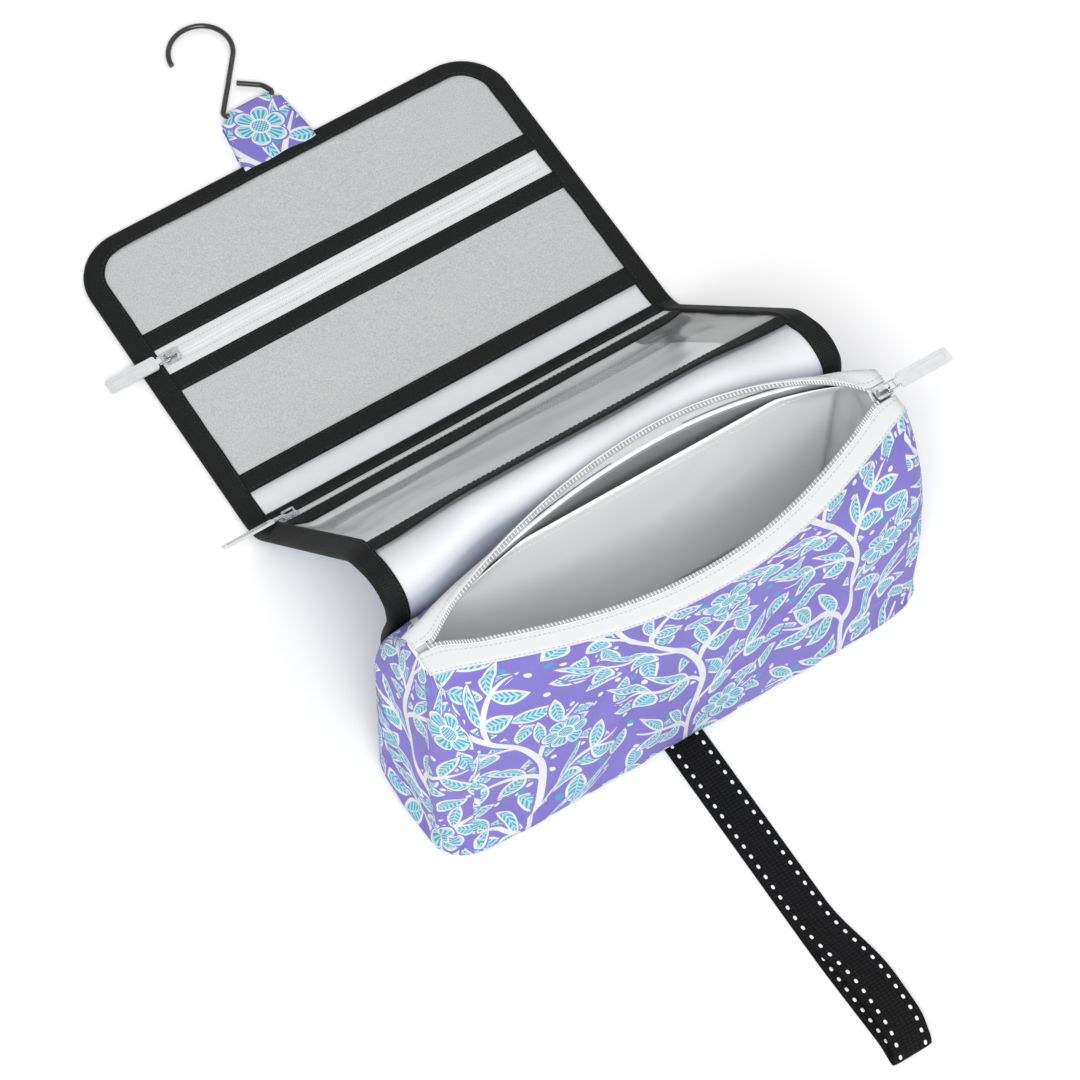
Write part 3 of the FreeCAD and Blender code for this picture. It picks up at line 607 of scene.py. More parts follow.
class Leaves:
    """The leafy print: every outline is the distance inside a shape, in metres."""

    def __init__(self, surface):
        self.surface = surface
        u, v = surface.cloth_uv()
        place = surface.pair(u, v)
        self.u = u + (surface.noise(place, 85 * MM, 0.5) - 0.5) * (24 * MM)
        self.v = v + (surface.noise(surface.pair(v, u), 75 * MM, 0.5) - 0.5) * (20 * MM)

    def cells(self, size, feature, shift, randomness=0.72):
        """A Voronoi node over the print, with cells of the given size."""
        node = self.surface.node("ShaderNodeTexVoronoi", voronoi_dimensions="2D", feature=feature,
                                 Scale=1.0, Randomness=randomness)
        place = self.surface.pair(self.u / size + shift, self.v / size)
        self.surface.tree.links.new(place, node.inputs["Vector"])
        return node

    def from_cell(self, node, size, shift):
        """The way from the cell's own point to here, along u and v, and a random number per cell."""
        tree = self.surface.tree
        split = self.surface.node("ShaderNodeSeparateXYZ")
        tree.links.new(node.outputs["Position"], split.inputs[0])
        chance = self.surface.node("ShaderNodeSeparateColor")
        tree.links.new(node.outputs["Color"], chance.inputs[0])
        du = self.u - (Value(tree, split.outputs[0]) - shift) * size
        dv = self.v - Value(tree, split.outputs[1]) * size
        return du, dv, Value(tree, chance.outputs[0])

    def leaf(self, a, b, kind):
        """How far inside a pointed leaf a point is, and b with the leaf's bend taken out.

        a runs along the leaf and b across it.
        """
        half_length, half_width, bend, _, _ = kind
        along = a / half_length
        b = b + (along * along) * bend
        taper = (along * along * -1.0 + 1.0) * half_width
        return taper - b.abs(), b

    def paint(self, under, inside, a, b, kind):
        """Draws a leaf over a colour: a purple halo, a white outline and a veined teal middle."""
        surface = self.surface
        pitch, rim = kind[3:]
        halo = inside.above(-1.1 * MM)
        body = inside.above(0.0)
        middle = inside.above(rim)
        vein = ((a + b.abs() * 0.9) * (2 * math.pi / pitch)).sin().above(0.0)
        rib = b.abs().above(0.35 * MM)
        fill = surface.mix(vein * rib, PALE_TEAL, TEAL)
        shown = surface.mix(halo, under, PURPLE)
        shown = surface.mix(body, shown, WHITE_INK)
        return surface.mix(middle, shown, fill)

    def scattered(self, under, size, shift):
        """One leaf in every cell, each turned its own way and cut off short of the next cell."""
        node = self.cells(size, "F1", shift)
        edge = self.cells(size, "DISTANCE_TO_EDGE", shift)
        du, dv, chance = self.from_cell(node, size, shift)
        angle = chance * (2 * math.pi)
        a = du * angle.cos() + dv * angle.sin()
        b = dv * angle.cos() - du * angle.sin()
        inside, b = self.leaf(a, b, LOOSE_LEAF)
        room = (Value(self.surface.tree, edge.outputs["Distance"]) - 0.035) * size
        return self.paint(under, inside.low(room), a, b, LOOSE_LEAF)

    def dots(self, under, size, shift, radius, ink):
        """Round dots in some of the cells."""
        node = self.cells(size, "F1", shift, 0.9)
        du, dv, chance = self.from_cell(node, size, shift)
        gap = (du * du + dv * dv).sqrt()
        dot = gap.below(radius) * chance.above(0.45)
        return self.surface.mix(dot, under, ink)

    def vines(self, under):
        """Stems that sway upwards, with branches on both sides and leaves along the branches."""
        u = self.u * math.cos(VINE_TURN) + self.v * math.sin(VINE_TURN)
        v = self.v * math.cos(VINE_TURN) - self.u * math.sin(VINE_TURN)
        sway = (v * (2 * math.pi / VINE_SWAY[0])).sin() * VINE_SWAY[1]
        x = (u + sway).wrap(VINE_STEP) - VINE_STEP / 2
        out = x.abs()
        side = x.above(0.0) * (BRANCH_STEP / 2)
        rise = v - (out / BRANCH_REACH).sqrt() * BRANCH_RISE
        q = (rise + side).wrap(BRANCH_STEP) - BRANCH_STEP / 2
        reach = out.ramp(BRANCH_REACH, 4 * MM)
        stem = out * -1.0 + STEM_HALF
        branch = (reach * (1.35 * MM) + 0.45 * MM) - q.abs() * 0.75
        branch = branch.low(out * -1.0 + BRANCH_REACH)
        wood = stem.high(branch)

        near = (out - 5.0 * MM).wrap(LEAF_STEP) - 9.7 * MM
        off = q.abs() - 9.0 * MM
        a = near * math.cos(LEAF_TURN) + off * math.sin(LEAF_TURN)
        b = off * math.cos(LEAF_TURN) - near * math.sin(LEAF_TURN)
        inside, b = self.leaf(a, b, VINE_LEAF)
        inside = inside.low(out * -1.0 + BRANCH_REACH).low(out - 4.5 * MM)
        shown = self.paint(under, inside, a, b, VINE_LEAF)

        surface = self.surface
        shown = surface.mix(wood.above(-1.4 * MM) * inside.below(0.0), shown, PURPLE)
        return surface.mix(wood.above(0.0), shown, WHITE_INK)

    def flowers(self, under):
        """Open flowers on a half-drop repeat."""
        surface = self.surface
        across, up = FLOWER_REPEAT
        petals, radius = FLOWER_PETALS, FLOWER_R
        column = (self.u / across).floor()
        drop = column.wrap(2.0) * (up / 2)
        x = self.u.wrap(across) - across / 2
        y = (self.v + drop).wrap(up) - up / 2
        r = (x * x + y * y).sqrt()
        angle = y.math("ARCTAN2", x)
        lobe = (angle * (petals / 2)).cos().abs()
        edge = lobe.sqrt() * (radius * 0.42) + radius * 0.56
        inside = edge - r
        heart = r * -1.0 + radius * 0.30
        halo = inside.above(-1.3 * MM)
        spoke = (angle * (petals * 4.0)).sin().above(-0.1) * r.below(radius * 0.80)
        fill = surface.mix(spoke, PALE_TEAL, TEAL)
        shown = surface.mix(halo, under, PURPLE)
        shown = surface.mix(inside.above(0.0), shown, WHITE_INK)
        shown = surface.mix(inside.above(1.2 * MM) * lobe.above(0.28), shown, fill)
        shown = surface.mix(heart.above(-1.2 * MM), shown, WHITE_INK)
        k = 2 * math.pi / SEED_PITCH
        seed = ((x * k).sin() * (y * k).sin()).above(-0.25)
        core = surface.mix(seed, WHITE_INK, TEAL)
        return surface.mix(heart.above(0.0), shown, core)


def make_print():
    """Printed polyester: a generic leafy pattern in white and blue on lilac."""
    surface = Surface("print_cloth", PURPLE, 0.7, Sheen_Weight=0.05, Sheen_Roughness=0.4)
    leaves = Leaves(surface)
    shade = surface.noise(surface.object_place(), 35 * MM).ramp(0.35, 0.65)
    ground = surface.mix(shade, PURPLE_SHADE, PURPLE)
    shown = leaves.dots(ground, 15 * MM, 3.7, 1.8 * MM, WHITE_INK)
    shown = leaves.dots(shown, 21 * MM, 8.1, 2.2 * MM, TEAL)
    shown = leaves.scattered(shown, 26 * MM, 0.0)
    shown = leaves.vines(shown)
    shown = leaves.flowers(shown)
    surface.color(shown)
    u, v = surface.cloth_uv()
    weave(surface, u, v, 0.55 * MM, 0.05 * MM)
    surface.bump(surface.noise(surface.object_place(), 9 * MM), 0.35 * MM, 0.35)
    return surface.material


def make_lining(name, light, dark):
    """Thin smooth polyester taffeta, off-white; the very light copy inside the pouch is painted light and
    the dark grey copy is painted shade.
    """
    surface = Surface(name, light, 0.5, Sheen_Weight=0.1, Sheen_Roughness=0.35)
    mottled(surface, 70 * MM, light, dark)
    grain = surface.noise(surface.object_place(), 0.7 * MM, 2.0)
    surface.bump(grain, 0.06 * MM, 0.5)
    surface.bump(surface.noise(surface.object_place(), 22 * MM), 0.6 * MM, 0.3)
    return surface.material


def make_melange():
    """Heathered grey panel cloth, with a fine speckle."""
    surface = Surface("panel_cloth", (0.46, 0.465, 0.47), 0.85)
    place = surface.object_place()
    speck = surface.noise(place, 0.9 * MM, 3.0, 0.7).ramp(0.36, 0.64)
    cloud = surface.noise(place, 6 * MM, 3.0, 0.6).ramp(0.3, 0.7)
    fine = surface.mix(speck, (0.37, 0.373, 0.378), (0.54, 0.545, 0.55))
    surface.color(surface.mix(cloud * 0.35, fine, (0.485, 0.49, 0.495)))
    surface.bump(speck, 0.12 * MM, 0.6)
    return surface.material


def make_ribbed(name, color, worn, pitch, depth, rough):
    """Woven ribbon with ribs across its length; the first cloth coordinate runs along it."""
    surface = Surface(name, color, rough, Specular_IOR_Level=0.18)
    u, v = surface.cloth_uv()
    k = 2 * math.pi / pitch
    rib = (u * k).sin() * 0.5 + 0.5
    thread = (v * (k * 0.8) + rib * 1.5).sin() * 0.5 + 0.5
    fluff = surface.noise(surface.object_place(), 1.2 * MM, 3.0).ramp(0.3, 0.75)
    surface.color(surface.mix(rib * thread * 0.6 + fluff * 0.3, color, worn))
    surface.bump(rib * 0.7 + thread * 0.3, depth, 0.8)
    return surface.material


def make_tape():
    """Woven zip tape: fine lengthwise ribs on white."""
    surface = Surface("tape_weave", (0.63, 0.64, 0.65), 0.8)
    u, v = surface.cloth_uv()
    k = 2 * math.pi / (0.9 * MM)
    rib = (v * k).sin() * 0.5 + 0.5
    chevron = ((u + (v * k).sin() * (0.3 * MM)) * k).sin() * 0.5 + 0.5
    surface.color(surface.mix(rib * chevron * 0.6, (0.63, 0.635, 0.64), (0.575, 0.58, 0.59)))
    surface.bump(rib * 0.6 + chevron * 0.4, 0.08 * MM, 0.5)
    return surface.material


def make_hard(name, base, rough, patch, tones, gloss, grain, **constants):
    """A smooth hard surface in patches of two tones, with uneven gloss and a faint grain.

    patch is (size, ramp start, ramp end), gloss is (size, range, lowest), and grain is (size,
    noise detail, depth, strength).
    """
    surface = Surface(name, base, rough, **constants)
    place = surface.object_place()
    tone = surface.noise(place, patch[0]).ramp(patch[1], patch[2])
    surface.color(surface.mix(tone, tones[0], tones[1]))
    surface.rough(surface.noise(place, gloss[0], 4.0) * gloss[1] + gloss[2])
    surface.bump(surface.noise(place, grain[0], grain[1]), grain[2], grain[3])
    return surface.material


def make_moulded(name, color, tint, rough, **constants):
    """Smooth moulded nylon or plastic with a faint grain."""
    return make_hard(name, color, rough, (5 * MM, 0.3, 0.7), (color, tint), (2 * MM, 0.2, rough - 0.1),
                     (0.8 * MM, 3.0, 0.03 * MM, 0.4), **constants)


def make_metal():
    """Die-cast zip metal, bright with faint casting marks."""
    tones = ((0.52, 0.53, 0.55), (0.74, 0.75, 0.76))
    return make_hard("slider_metal", (0.62, 0.63, 0.64), 0.25, (2.5 * MM, 0.35, 0.65), tones,
                     (0.9 * MM, 0.35, 0.12), (1.4 * MM, 2.0, 0.05 * MM, 0.3), Metallic=1.0)


def make_wire():
    """Black coated steel wire, glossy with slight orange peel."""
    tones = ((0.010, 0.010, 0.011), (0.022, 0.022, 0.024))
    return make_hard("hook_coating", (0.012, 0.012, 0.013), 0.28, (4 * MM, 0.4, 0.7), tones,
                     (1.5 * MM, 0.2, 0.2), (1.1 * MM, 2.0, 0.05 * MM, 0.35),
                     Coat_Weight=0.4, Coat_Roughness=0.15)


# Painted shade on the film, in its own cloth coordinates: beyond the place given next along the first,
# and in the band given after it along the second, which leans by WINDOW_LEAN.
WINDOW_SHADE_START = 396 * MM
WINDOW_SHADE_BAND = (384 * MM, 418 * MM)
WINDOW_LEAN = -0.10


def make_vinyl():
    """Clear flexible PVC over the lining, with painted shade in a band along a fold and at its far end."""
    surface = Surface("clear_vinyl", (0.30, 0.31, 0.315), 0.2, IOR=1.45, Alpha=0.6,
                      Coat_Weight=0.25, Coat_Roughness=0.12)
    place = surface.object_place()
    haze = surface.noise(place, 60 * MM, 1.0).ramp(0.3, 0.7)
    u, v = surface.cloth_uv()
    # Painted shade: the colour darkens in a leaning band along a fold and beyond a set place along the
    # film.
    band = v + (u - WINDOW_SHADE_START) * WINDOW_LEAN
    fold_shadow = band.above(WINDOW_SHADE_BAND[0]) * band.below(WINDOW_SHADE_BAND[1]) * 0.6
    fold = fold_shadow.high(u.above(WINDOW_SHADE_START))
    clear = surface.mix(haze, (0.80, 0.815, 0.82), (0.90, 0.915, 0.92))
    surface.color(surface.mix(fold, clear, (0.27, 0.275, 0.28)))
    surface.rough(surface.noise(place, 30 * MM, 3.0) * 0.12 + 0.16)
    surface.bump(surface.noise(place, 60 * MM, 1.0), 0.8 * MM, 0.2)
    return surface.material


BLACK = (0.0030, 0.0033, 0.0033)
BLACK_WORN = (0.0240, 0.0250, 0.0250)

PRINT = make_print()
LINING = make_lining("lining_cloth", (0.69, 0.70, 0.725), (0.63, 0.64, 0.67))
# The lining inside the pouch, on its walls, floor board and divider, is a copy of the flap's lining made
# much lighter: painted light that brightens the pouch's shaded inside.
LIT_POUCH_LINING = make_lining("pouch_lining_cloth", (0.92, 0.925, 0.93), (0.88, 0.885, 0.89))
# A dark grey copy of the lining for the inside of the rear wall: painted shade in the pocket behind the
# divider, not a grey cloth.
POCKET_PAINTED_SHADE = make_lining("pocket_lining_cloth", (0.33, 0.335, 0.34), (0.27, 0.275, 0.28))
MELANGE = make_melange()
BINDING = make_ribbed("binding_ribbon", BLACK, BLACK_WORN, 1.15 * MM, 0.16 * MM, 0.72)
WEBBING = make_ribbed("strap_webbing", (0.0010, 0.0010, 0.0011), (0.014, 0.014, 0.0145), 2.1 * MM,
                      0.4 * MM, 0.85)
TAPE = make_tape()
TEETH = make_moulded("zip_coil", (0.72, 0.73, 0.74), (0.78, 0.785, 0.79), 0.4)
# A dark grey strip under the coil teeth: painted shade in the gaps between them, not a grey cord.
COIL_GAP_SHADE = make_moulded("coil_cord", (0.33, 0.335, 0.34), (0.42, 0.425, 0.43), 0.8)
PULLS = make_moulded("pull_plastic", (0.55, 0.56, 0.57), (0.62, 0.625, 0.63), 0.3, Coat_Weight=0.3)
THREAD_WHITE = make_moulded("white_thread", (0.80, 0.80, 0.81), (0.86, 0.86, 0.87), 0.6)
THREAD_GREY = make_moulded("grey_thread", (0.40, 0.41, 0.43), (0.52, 0.53, 0.55), 0.6)
THREAD_TAUPE = make_moulded("taupe_thread", (0.40, 0.36, 0.34), (0.50, 0.46, 0.44), 0.7)
THREAD_BLACK = make_moulded("black_thread", (0.010, 0.010, 0.011), (0.020, 0.020, 0.021), 0.6)
METAL = make_metal()
WIRE = make_wire()
VINYL = make_vinyl()


# ---- pouch ------------------------------------------------------------------------------------------

SIDE_STEPS = 64
END_STEPS = 18
CORNER_STEPS = 8
REAR_START = SIDE_STEPS + 2 * CORNER_STEPS + END_STEPS


def corner_arc(cx, cy, r, start):
    """Points of a quarter turn, without its last one."""
    angles = [start + math.pi / 2 * i / CORNER_STEPS for i in range(CORNER_STEPS)]
    return [(cx + r * math.cos(a), cy + r * math.sin(a)) for a in angles]


def rounded_outline(hx, y0, y1, r):
    """A rounded rectangle, from its front left corner towards +X, anticlockwise.

    Its rear side starts at point REAR_START.
    """
    ring = [(x, y0) for x in spread(-hx + r, hx - r, SIDE_STEPS + 1)[:-1]]
    ring += corner_arc(hx - r, y0 + r, r, -math.pi / 2)
    ring += [(hx, y) for y in spread(y0 + r, y1 - r, END_STEPS + 1)[:-1]]
    ring += corner_arc(hx - r, y1 - r, r, 0)
    ring += [(x, y1) for x in spread(hx - r, -hx + r, SIDE_STEPS + 1)[:-1]]
    ring += corner_arc(-hx + r, y1 - r, r, math.pi / 2)
    ring += [(-hx, y) for y in spread(y1 - r, y0 + r, END_STEPS + 1)[:-1]]
    ring += corner_arc(-hx + r, y0 + r, r, math.pi)
    return ring


def base_outline(inset):
    """The outline of the pouch's base and walls, as (x, y)."""
    r = max(POUCH_CORNER - inset, 6 * MM)
    return rounded_outline(POUCH_HALF - inset, POUCH_FRONT + inset, POUCH_REAR - inset, r)


def sag(x, half):
    """1 at the middle of the bag and 0 at x = half, as an arch."""
    return max(1 - (x / half) ** 2, 0.0)


def arch(x, half, middle):
    """1 at the crest of one lip of the mouth and 0 at both of its ends; the two lips differ."""
    crest, left, right = FRONT_CREST if middle[0] < 0 else REAR_CREST
    share = (x - crest) / (half - crest if x > crest else half + crest)
    return max(1 - share * share, 0.0) ** (right if x > crest else left)


def mouth_place(x, middle):
    """(y, z) of the mouth's edge at x, on the side whose middle is given."""
    side = -1 if middle[0] < 0 else 1
    lift = arch(x, MOUTH_HALF, middle)
    end_y = side * MOUTH_END[0 if side < 0 else 1]
    return end_y + (middle[0] - end_y) * lift, MOUTH_Z + (middle[1] - MOUTH_Z) * lift


def mouth_outline():
    """The rim of the pouch as (x, y, z), with the same steps as base_outline."""
    flat = rounded_outline(MOUTH_HALF, -MOUTH_END[0], MOUTH_END[1], RIM_CORNER)
    ring = [(x, y, MOUTH_Z) for x, y in flat]
    for edge, start in ((FRONT_EDGE, 0), (REAR_EDGE, REAR_START)):
        for i in range(start, start + SIDE_STEPS):
            ring[i] = (flat[i][0], *mouth_place(flat[i][0], edge))
    return ring


# The rows of the pouch's grid, from the middle of its base up: BASE_SHARES are shares of the outline,
# and FOOT_CURVE rounds the base's edge, as (height, inset) in mm. MID_ROW is one half-way up the wall.
BASE_SHARES = (0.25, 0.5, 0.75, 0.92)
FOOT_CURVE = [(0.0, 9.0), (0.25, 6.4), (0.9, 4.2), (2.2, 2.5), (4.4, 1.2), (7.5, 0.35), (11.0, 0.0)]
WALL_START = len(BASE_SHARES) + len(FOOT_CURVE)
WALL_ROWS = 21
MID_ROW = 20
SHOULDER_ROWS = 15
FULLNESS = 1.6
SKIN_T = 2.4 * MM
SEAM_X = POUCH_HALF - POUCH_CORNER
END_PRINT = (31 * MM, 14 * MM)


def pouch_rings():
    """The outer face of the pouch as rings of points, from its base up to its rim."""
    rings = []
    for share in BASE_SHARES:
        flat = base_outline(FOOT_CURVE[0][1] * MM)
        rings.append([V((x * share, y * share, 0.0)) for x, y in flat])
    for z, inset in FOOT_CURVE:
        rings.append([V((x, y, z * MM)) for x, y in base_outline(inset * MM)])
    wall = base_outline(0.0)
    for z in spread(FOOT_CURVE[-1][0] * MM, SHOULDER_Z, WALL_ROWS)[1:]:
        rings.append([V((x, y, z)) for x, y in wall])
    rim = mouth_outline()
    for t in spread(0.0, 1.0, SHOULDER_ROWS)[1:]:
        across = t ** FULLNESS
        ring = []
        for (x0, y0), (x1, y1, z1) in zip(wall, rim):
            z = SHOULDER_Z + (z1 - SHOULDER_Z) * t
            ring.append(V((x0 + (x1 - x0) * across, y0 + (y1 - y0) * across, z)))
        rings.append(ring)
    return rings


def slump(p):
    """Moves a point of the pouch's outer face as soft, part-filled cloth stands."""
    x, y, z = p
    if z < 3 * MM:
        return V(p)
    rise = math.sin(math.pi * min(z / (168 * MM), 1.0))
    front = smooth(-y / (40 * MM))
    ends = smooth((abs(x) - 120 * MM) / (37 * MM))
    belly = 3.2 * MM * rise * front * (1 - (x / POUCH_HALF) ** 4)
    waist = 2.4 * MM * rise * ends
    large = 0.9 * ripple(x + y, z, 48 * MM, 2.0)
    small = 0.45 * ripple(x - y, z * 1.4, 21 * MM, 5.0)
    fold = rise * (large + small) * MM
    out = V((math.copysign(ends, x), -front, 0))
    move = V((-math.copysign(waist * 0.3, x), -belly, 0))
    return V(p) + move + out * fold


def normals_of(grid):
    """Outward normals of a closed-ring grid, as an array of the same shape."""
    around = np.roll(grid, -1, axis=1) - np.roll(grid, 1, axis=1)
    up = np.gradient(grid, axis=0)
    normal = np.cross(around, up)
    return normal / np.maximum(np.linalg.norm(normal, axis=2, keepdims=True), 1e-12)


def ring_faces(rows, cols, offset, flip):
    """The faces between the rings of a grid, whose first point has the number offset."""
    faces = []
    for r in range(rows - 1):
        for c in range(cols):
            d = (c + 1) % cols
            face = [offset + r * cols + c, offset + r * cols + d,
                    offset + (r + 1) * cols + d, offset + (r + 1) * cols + c]
            faces.append(face[::-1] if flip else face)
    return faces


def ring_uvs(grid, flip):
    """Cloth coordinates: along the wall's perimeter, and up the wall from the base's edge."""
    rows, cols, _ = grid.shape
    wall = grid[WALL_START]
    steps = np.linalg.norm(np.roll(wall, -1, axis=0) - wall, axis=1)
    around = np.concatenate([[0.0], np.cumsum(steps)])
    climb = np.linalg.norm(np.diff(grid, axis=0), axis=2).mean(axis=1)
    rise = np.concatenate([[0.0], np.cumsum(climb)])
    uvs = []
    for r in range(rows - 1):
        for c in range(cols):
            at_end = min(abs(wall[c, 0]), abs(wall[(c + 1) % cols, 0])) > SEAM_X - 0.1 * MM
            du, dv = END_PRINT if at_end else (0.0, 0.0)
            corners = [(c, r), (c + 1, r), (c + 1, r + 1), (c, r + 1)]
            pairs = [(around[i] + du, rise[j] + dv) for i, j in corners]
            uvs.append(pairs[::-1] if flip else pairs)
    return uvs


def settled_pouch():
    """The pouch's outer face as a grid, after slumping and settling as cloth."""
    rings = [[slump(p) for p in ring] for ring in pouch_rings()]
    rows, cols = len(rings), len(rings[0])
    points = [p for ring in rings for p in ring]
    mesh = mesh_of("wall_cloth", points, ring_faces(rows, cols, 0, False))
    wall = link("wall_cloth", mesh, [])
    held = []
    for r in range(rows):
        for c in range(cols):
            p = rings[r][c]
            if p.z < 6 * MM or r > rows - 4 or p.y > 30 * MM:
                held.append(r * cols + c)
    settle(wall, held, slack=0.012, pressure=2.0, cap=4 * MM, frames=18, gravity=0.6)
    grid = np.array([v.co for v in mesh.vertices], float).reshape(rows, cols, 3)
    bpy.data.objects.remove(wall)
    return grid


OUTER = settled_pouch()
NORMALS = normals_of(OUTER)


def make_pouch():
    """The printed shell and its lining as one closed skin, sewn together at the rim."""
    rows, cols, _ = OUTER.shape
    inner = OUTER - NORMALS * SKIN_T
    inner[:, :, 2] = np.maximum(inner[:, :, 2], SKIN_T)
    inner[-1, :, 2] = OUTER[-1, :, 2] - 0.3 * MM
    points = list(OUTER.reshape(-1, 3)) + list(inner.reshape(-1, 3))
    points += [(0, 0, 0), (0, 0, SKIN_T)]
    back = rows * cols
    faces = ring_faces(rows, cols, 0, False) + ring_faces(rows, cols, back, True)
    uvs = ring_uvs(OUTER, False) + ring_uvs(OUTER, True)
    # Slot 2, the inside of the rear wall, takes the dark grey lining that paints the shade of the rear
    # pocket.
    ring_slots = [2 if REAR_START <= c < REAR_START + SIDE_STEPS else 1 for c in range(cols)]
    # Slot 1, the rest of the inside, is the lining made lighter than the flap's: painted light inside the
    # pouch.
    slots = [0] * ((rows - 1) * cols) + ring_slots * (rows - 1)
    for c in range(cols):
        d = (c + 1) % cols
        top = (rows - 1) * cols
        faces.append([top + c, top + d, back + top + d, back + top + c])
        faces.append([c, 2 * back, d])
        faces.append([back + c, back + d, 2 * back + 1])
        slots += [1, 0, 1]
        uvs += [[(0, 0)] * 4, [(c * 5 * MM, 0)] * 3, [(0, 0)] * 3]
    mesh = turned_out(mesh_of("pouch_skin", points, faces, uvs, slots))
    piece = link("pouch_skin", mesh, [PRINT, LIT_POUCH_LINING, POCKET_PAINTED_SHADE])
    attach(piece, "bag")
    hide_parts("pouch_base", "pouch_front", "pouch_rear", "pouch_left_end", "pouch_right_end",
                "pouch_lining")


def wall_at(column, drop):
    """The place on the pouch's outer face a distance below its rim, and its outward normal."""
    travelled = 0.0
    for r in range(OUTER.shape[0] - 1, 0, -1):
        a, b = OUTER[r, column], OUTER[r - 1, column]
        step = float(np.linalg.norm(a - b))
        if travelled + step >= drop:
            t = (drop - travelled) / step
            return V(a + (b - a) * t), V(NORMALS[r, column] * (1 - t) + NORMALS[r - 1, column] * t)
        travelled += step
    return V(OUTER[0, column]), V((0, 0, -1))


# Sections of the base board: (share of its outline, height in mm).
BOARD_RINGS = ((0.0, 4.8), (0.985, 4.8), (1.0, 4.3), (1.0, 2.9), (0.985, 2.6), (0.0, 2.6))
BOARD_INSET = 12 * MM


def make_board():
    """The stiffener under the lining on the pouch's floor."""
    rings = []
    for share, z in BOARD_RINGS:
        rings.append([(x * share, y * share, z * MM) for x, y in base_outline(BOARD_INSET)])
    cols = len(rings[0])
    points = [p for ring in rings for p in ring]
    mesh = mesh_of("floor_board", points, ring_faces(len(rings), cols, 0, False))
    work = bmesh.new()
    work.from_mesh(mesh)
    bmesh.ops.remove_doubles(work, verts=work.verts, dist=0.01 * MM)
    work.to_mesh(mesh)
    work.free()
    piece = link("floor_board", turned_out(mesh), [LIT_POUCH_LINING])
    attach(piece, "bag")
    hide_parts("base_board")


def rear_wall(column, z):
    """The inner face of the rear wall in one column of the pouch's grid, at a height."""
    rows = OUTER.shape[0]
    for r in range(WALL_START, rows):
        a, b = OUTER[r - 1, column], OUTER[r, column]
        if b[2] >= z or r == rows - 1:
            t = min(max((z - a[2]) / max(b[2] - a[2], 1e-6), 0.0), 1.0)
            return V(a + (b - a) * t) - V((0, SKIN_T, 0))
    return V(OUTER[-1, column])


# The top edge of the divider as (y, z), and where it meets the floor.
DIVIDER_TOP = (30.0 * MM, 170.5 * MM)
DIVIDER_FOOT_Y = 35.8 * MM
DIVIDER_T = 0.8 * MM
DIVIDER_ROWS = 34


def divider_place(column, share, floor_z):
    """The divider's rear face at a share of its height; its ends run into the rear wall."""
    top_z = min(DIVIDER_TOP[1], OUTER[-1, column, 2] - 3 * MM)
    z = floor_z + (top_z - floor_z) * share
    plane = DIVIDER_FOOT_Y + (DIVIDER_TOP[0] - DIVIDER_FOOT_Y) * share ** 1.4
    return V((OUTER[MID_ROW, column, 0], min(plane, rear_wall(column, z).y - 0.6 * MM), z))


def make_divider():
    """The inner panel that makes a flat pocket on the rear wall, drawn straight at its top edge."""
    floor_z = low("inner_divider").z
    bottom = []
    for share in spread(0.0, 1.0, DIVIDER_ROWS):
        row = []
        for c in range(REAR_START, REAR_START + SIDE_STEPS + 1):
            place = divider_place(c, share, floor_z)
            slack = 0.5 * MM * ripple(place.x, place.z, 46 * MM, 3.0) * math.sin(math.pi * share)
            row.append(place - V((0, abs(slack), 0)))
        bottom.append(row)
    top = lowered(bottom, V((0, DIVIDER_T, 0)))
    piece = slab("inner_panel", top, bottom, flat_uv(bottom, 0, 2), [LIT_POUCH_LINING])
    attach(piece, "bag")
    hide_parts("inner_divider")
    line = [a.lerp(b, 0.82) for a, b in zip(top[-4], top[-3])]
    hem = stitch_spans(line, [V((0, -1, 0))] * len(line), 3.0 * MM)
    stitches = rods("inner_panel_stitches", hem, 0.2 * MM, LIT_POUCH_LINING, 0.7)
    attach(stitches, "bag")


def make_inner_seams():
    """The upright seams of the lining, at its rear corners, as rows of stitches."""
    for side, name in ((-1, "left"), (1, "right")):
        corner = (side * SEAM_X, POUCH_REAR)
        column = min(range(OUTER.shape[1]), key=lambda c: math.dist(OUTER[MID_ROW, c, :2], corner))
        line, normals = [], []
        for r in range(WALL_START + 4, OUTER.shape[0] - 2):
            line.append(V(OUTER[r, column] - NORMALS[r, column] * (SKIN_T + 0.2 * MM)))
            normals.append(-V(NORMALS[r, column]))
        stitches = stitch_spans(line, normals, 1.6 * MM, 0.9)
        seam = rods("lining_seam_" + name, stitches, 0.35 * MM, THREAD_TAUPE, 0.8)
        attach(seam, "bag")


# ---- main zip ---------------------------------------------------------------------------------------

TAPE_HALF = MOUTH_HALF - 0.5 * MM
TAPE_T = 0.7 * MM
TAPE_POINTS = 13
TAPE_SEAMS = (3, 11)
TAPE_WIDTH = (11.2 * MM, 13.0 * MM)
COIL_PITCH = 1.5 * MM
COIL_R = 0.41 * MM
THREAD_R = 0.3 * MM
UP = V((0, 0, 1))


def chain_place(x, middle):
    """The middle of one row of the main zip's coil at x, carried on past its ends."""
    side = -1 if middle[0] < 0 else 1
    lift = arch(x, CHAIN_HALF, middle)
    closing = smooth((abs(x) - 112 * MM) / (30 * MM)) * (0.85 if x < 0 else 0.25)
    end_y = side * CHAIN_END_Y * (1 - closing)
    y = end_y + (middle[0] - end_y) * lift
    return V((x, y, MOUTH_Z + 0.5 * MM + (middle[1] - MOUTH_Z) * lift))


